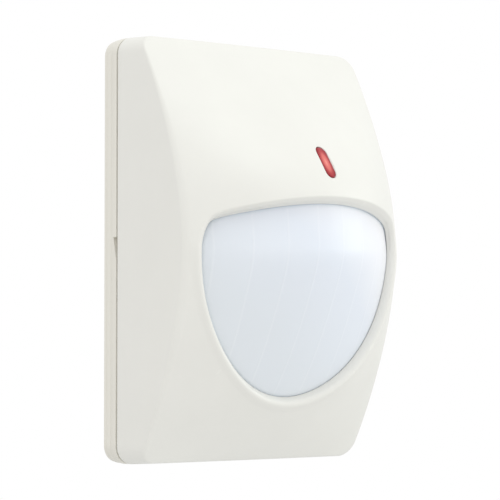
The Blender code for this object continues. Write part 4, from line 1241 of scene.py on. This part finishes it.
def make_option_switch():
    box = Box("option_switch_body")
    body = block("option_body", "option_switch_body", radius=0.3 * MM, rounding=0.2 * MM)
    tools = []
    for k in range(3):
        node = f"option_slider_{k + 1}"
        slider = Box(node)
        well = rounded_box(OPTION_WELL_WIDTH, OPTION_WELL_LENGTH, slider.centre.x, box.centre.z, 0.15 * MM, 3)
        tools.append(prism(well, slider.near - WELL_FLOOR_GAP, box.far + OVERCUT))
        knob = block(f"slider_{k + 1}", node, radius=0.15 * MM, rounding=0.12 * MM)
        piece(knob, node, "switch_white", node)
    carve(body, tools)
    piece(body, "board", "switch_blue", "option_switch_body")


def make_trimmer():
    """The sensitivity trimmer, and its rotor with an arrow-shaped slot."""
    box = Box("sensitivity_trimmer_body")
    rotor = Box("sensitivity_rotor")
    body = block("trimmer_body", "sensitivity_trimmer_body", radius=0.4 * MM, rounding=0.3 * MM)
    well = circle(rotor.size.x + 2 * FIT_GAP, *box.place)
    carve(body, [prism(well, rotor.near - WELL_FLOOR_GAP, box.far + OVERCUT)])
    piece(body, "board", "switch_blue", "sensitivity_trimmer_body")
    far = rotor.far
    radius = rotor.size.x / 2
    profile = [(radius, rotor.near)]
    profile += bend((radius, far - ROTOR_ROUNDING), (radius, far), (radius - ROTOR_ROUNDING, far), 3)
    disc = turned("rotor_disc", profile, *box.place)
    arrow = [ARROW_TIP, *ARROW] + [(-x, z) for x, z in reversed(ARROW)]
    carve(disc, [prism(moved(arrow, *box.place), far - ARROW_SINK, far + OVERCUT)])
    piece(disc, "sensitivity_rotor", "switch_white", "sensitivity_rotor")


LED_FLANGE = 0.4 * MM
LED_FLANGE_WALL = 1.0 * MM
DOME_STEPS = 12


def make_led():
    """The indicator's lamp: a domed body on a flat flange."""
    box = Box("indicator_led")
    near, far = box.near, box.far
    rim = box.size.x / 2
    radius = rim - LED_FLANGE
    top = near + LED_FLANGE_WALL
    profile = [(rim - 0.1 * MM, near), (rim, near + 0.1 * MM), (rim, top - 0.1 * MM), (rim - 0.1 * MM, top)]
    profile += [(radius + 0.03 * MM, top), (radius, top + 0.1 * MM)]
    for k in range(DOME_STEPS):
        angle = math.radians(90 * k / DOME_STEPS)
        profile.append((radius * math.cos(angle), far - radius * (1 - math.sin(angle))))
    piece(turned("led_lamp", profile, *box.place, sharp=50), "board", "led_resin", "indicator_led")


RELAY_SEAM = (1.3 * MM, 1.5 * MM)    # heights of the seam between the relay's base and cover
RELAY_SEAM_SINK = 0.15 * MM
VENT_DIAMETER = 1.2 * MM
VENT_RISE = 5.4 * MM
VENT_SINK = 0.2 * MM


def make_relay():
    """The relay's case, with a seam round it and a vent on its front."""
    box = Box("alarm_relay")
    body = block("relay_cover", "alarm_relay", radius=0.6 * MM, rounding=0.4 * MM)
    rings = []
    outside = (OVERCUT, 0.6 * MM, RELAY_SEAM)
    inside = (-2 * RELAY_SEAM_SINK, 0.5 * MM, reversed(RELAY_SEAM))
    for grow, corner, heights in (outside, inside):
        outline = rounded_box(box.size.x + grow, box.size.z + grow, *box.place, corner)
        rings += [at_depth(outline, box.near + height) for height in heights]
    carve(body, [new_object("groove", loft(rings, closed=True))])
    vent = circle(VENT_DIAMETER, box.centre.x, box.centre.z + VENT_RISE, 24)
    carve(body, [prism(vent, box.far - VENT_SINK, box.far + OVERCUT)])
    piece(body, "board", "relay_case", "alarm_relay")


RESONATOR_FLANGE = 0.45 * MM
RESONATOR_FLANGE_WALL = 0.35 * MM
RESONATOR_ROUNDING = 0.4 * MM


def make_resonator():
    """A drawn can, longer across than up, on a flat flange."""
    box = Box("clock_resonator")
    far = box.far
    wall = RESONATOR_FLANGE
    flange_top = box.near + RESONATOR_FLANGE_WALL
    profile = [(0, box.near), (0, flange_top), (wall - 0.05 * MM, flange_top + 0.05 * MM)]
    profile += bend((wall, far - RESONATOR_ROUNDING), (wall, far), (wall + RESONATOR_ROUNDING, far), 5)
    rings = []
    for inset, depth in profile:
        upright = stadium(box.size.z - 2 * inset, box.size.x - 2 * inset, 14)
        rings.append(at_depth([(box.centre.x + z, box.centre.z - x) for x, z in upright], depth))
    piece(new_object("resonator_can", loft(rings)), "board", "plated_steel", "clock_resonator")


GROMMET_BORE = 3.0 * MM    # radius of the hole through it
GROMMET_ROUNDING = 0.3 * MM


def make_grommet():
    """The rubber ring in the cable hole, with a rim inside the base."""
    box = Box("cable_grommet")
    rear, front = box.near, box.far
    rim = box.size.x / 2
    outer = CABLE_HOLE_DIAMETER / 2 - FIT_GAP
    bore = GROMMET_BORE
    soft = GROMMET_ROUNDING
    seat = BACK_WALL + FIT_GAP
    profile = [(bore, rear + soft)] + bend((bore, front - soft), (bore, front), (bore + soft, front), 3)
    profile += bend((rim - soft, front), (rim, front), (rim, front - soft), 4)
    profile += [(rim, seat), (outer, seat), (outer, rear + soft), (outer - soft, rear), (bore + soft, rear)]
    grommet = turned("grommet_ring", profile, *box.place, closed=True)
    piece(grommet, "base", "grommet_rubber", "cable_grommet")


def make_inside():
    make_board()
    make_screw("board_screw", SCREW_HEAD, SCREW_HEAD_WALL, SCREW_SHAFT, cross=True)
    make_sensor()
    make_led()
    make_terminals()
    make_tamper_switch()
    make_option_switch()
    make_trimmer()
    make_relay()
    make_resonator()
    for node in ("supply_capacitor", "filter_capacitor", "timing_capacitor"):
        make_capacitor(node)
    make_chip("processor", "signal_processor", 9)
    make_chip("amplifier", "amplifier_chip", 6)
    make_chip("regulator", "voltage_regulator", 3)
    make_grommet()


# ---------------------------------------------------------------- studio

FLOOR_SIZE = 1.1
FLOOR_DROP = 0.15    # the sensor hangs above the floor


def make_floor():
    bm = bmesh.new()
    bmesh.ops.create_grid(bm, x_segments=8, y_segments=8, size=FLOOR_SIZE)
    floor = new_object("studio_floor", bm)
    floor.location = (0, 0, CAD_LOW.z - FLOOR_DROP)
    floor.data.materials.append(floor_material())


def make_light(name, energy, size, place, colour=(1, 1, 1)):
    """A round light of this size in metres, turned towards the sensor."""
    data = bpy.data.lights.new(name, "AREA")
    data.energy = energy
    data.shape = "DISK"
    data.size = size
    data.color = colour
    light = bpy.data.objects.new(name, data)
    bpy.context.scene.collection.objects.link(light)
    light.location = place
    light.rotation_mode = "QUATERNION"
    light.rotation_quaternion = (Vector(LIT_POINT) - Vector(place)).to_track_quat("-Z", "Y")


LIT_POINT = (0, -0.02, 0)
FILL_STRENGTH = 0.975
KEY_POWER = 1.05
KEY_PLACE = (0.8, -0.45, 0.15)
KEY_COLOUR = (0.91, 1.0, 0.97)
FRONT_POWER = 0.55
FRONT_PLACE = (-0.15, -0.85, -0.1)
TOP_POWER = 1.6
TOP_PLACE = (-0.08, -0.42, 0.9)


def make_studio():
    scene = bpy.context.scene
    scene.view_settings.view_transform = "Standard"
    world = bpy.data.worlds.new("studio")
    scene.world = world
    world.use_nodes = True
    tree = world.node_tree
    background = tree.nodes["Background"]
    background.inputs["Color"].default_value = (1.0, 1.0, 1.0, 1.0)
    seen = add_node(tree, "ShaderNodeLightPath").outputs["Is Camera Ray"]
    tree.links.new(spread(tree, seen, FILL_STRENGTH, 1.0, 0.0, 1.0), background.inputs["Strength"])
    make_light("key", KEY_POWER, 0.5, KEY_PLACE, KEY_COLOUR)
    make_light("front", FRONT_POWER, 0.5, FRONT_PLACE)
    make_light("top", TOP_POWER, 0.6, TOP_PLACE, KEY_COLOUR)


CAMERA_AZIMUTH = math.radians(-40.0)
CAMERA_ELEVATION = math.radians(-2.402)
CAMERA_DISTANCE = 0.53629
CAMERA_TARGET = Vector((-0.006618, -0.022, 0.000108))
CAMERA_LENS = 164.23


def make_camera():
    data = bpy.data.cameras.new("camera")
    data.sensor_width = 36.0
    data.lens = CAMERA_LENS
    data.clip_start = 0.01
    data.clip_end = 20.0
    camera = bpy.data.objects.new("camera", data)
    bpy.context.scene.collection.objects.link(camera)
    flat = math.cos(CAMERA_ELEVATION)
    back = Vector((
        math.sin(CAMERA_AZIMUTH) * flat,
        -math.cos(CAMERA_AZIMUTH) * flat,
        math.sin(CAMERA_ELEVATION),
    ))
    camera.location = CAMERA_TARGET + back * CAMERA_DISTANCE
    camera.rotation_mode = "QUATERNION"
    camera.rotation_quaternion = (-back).to_track_quat("-Z", "Y")
    bpy.context.scene.camera = camera


def repaint_nodes():
    """Every CAD node that stays gets the finish of its slot."""
    for entry in frame["record"]["subparts"]:
        obj = frame["nodes"][entry["node"]]
        obj.data.materials.clear()
        obj.data.materials.append(LOOKS[entry["material_slot"]])


repaint_nodes()
make_base()
make_cover()
make_lens()
make_light_guide()
make_inside()
make_floor()
make_studio()
make_camera()
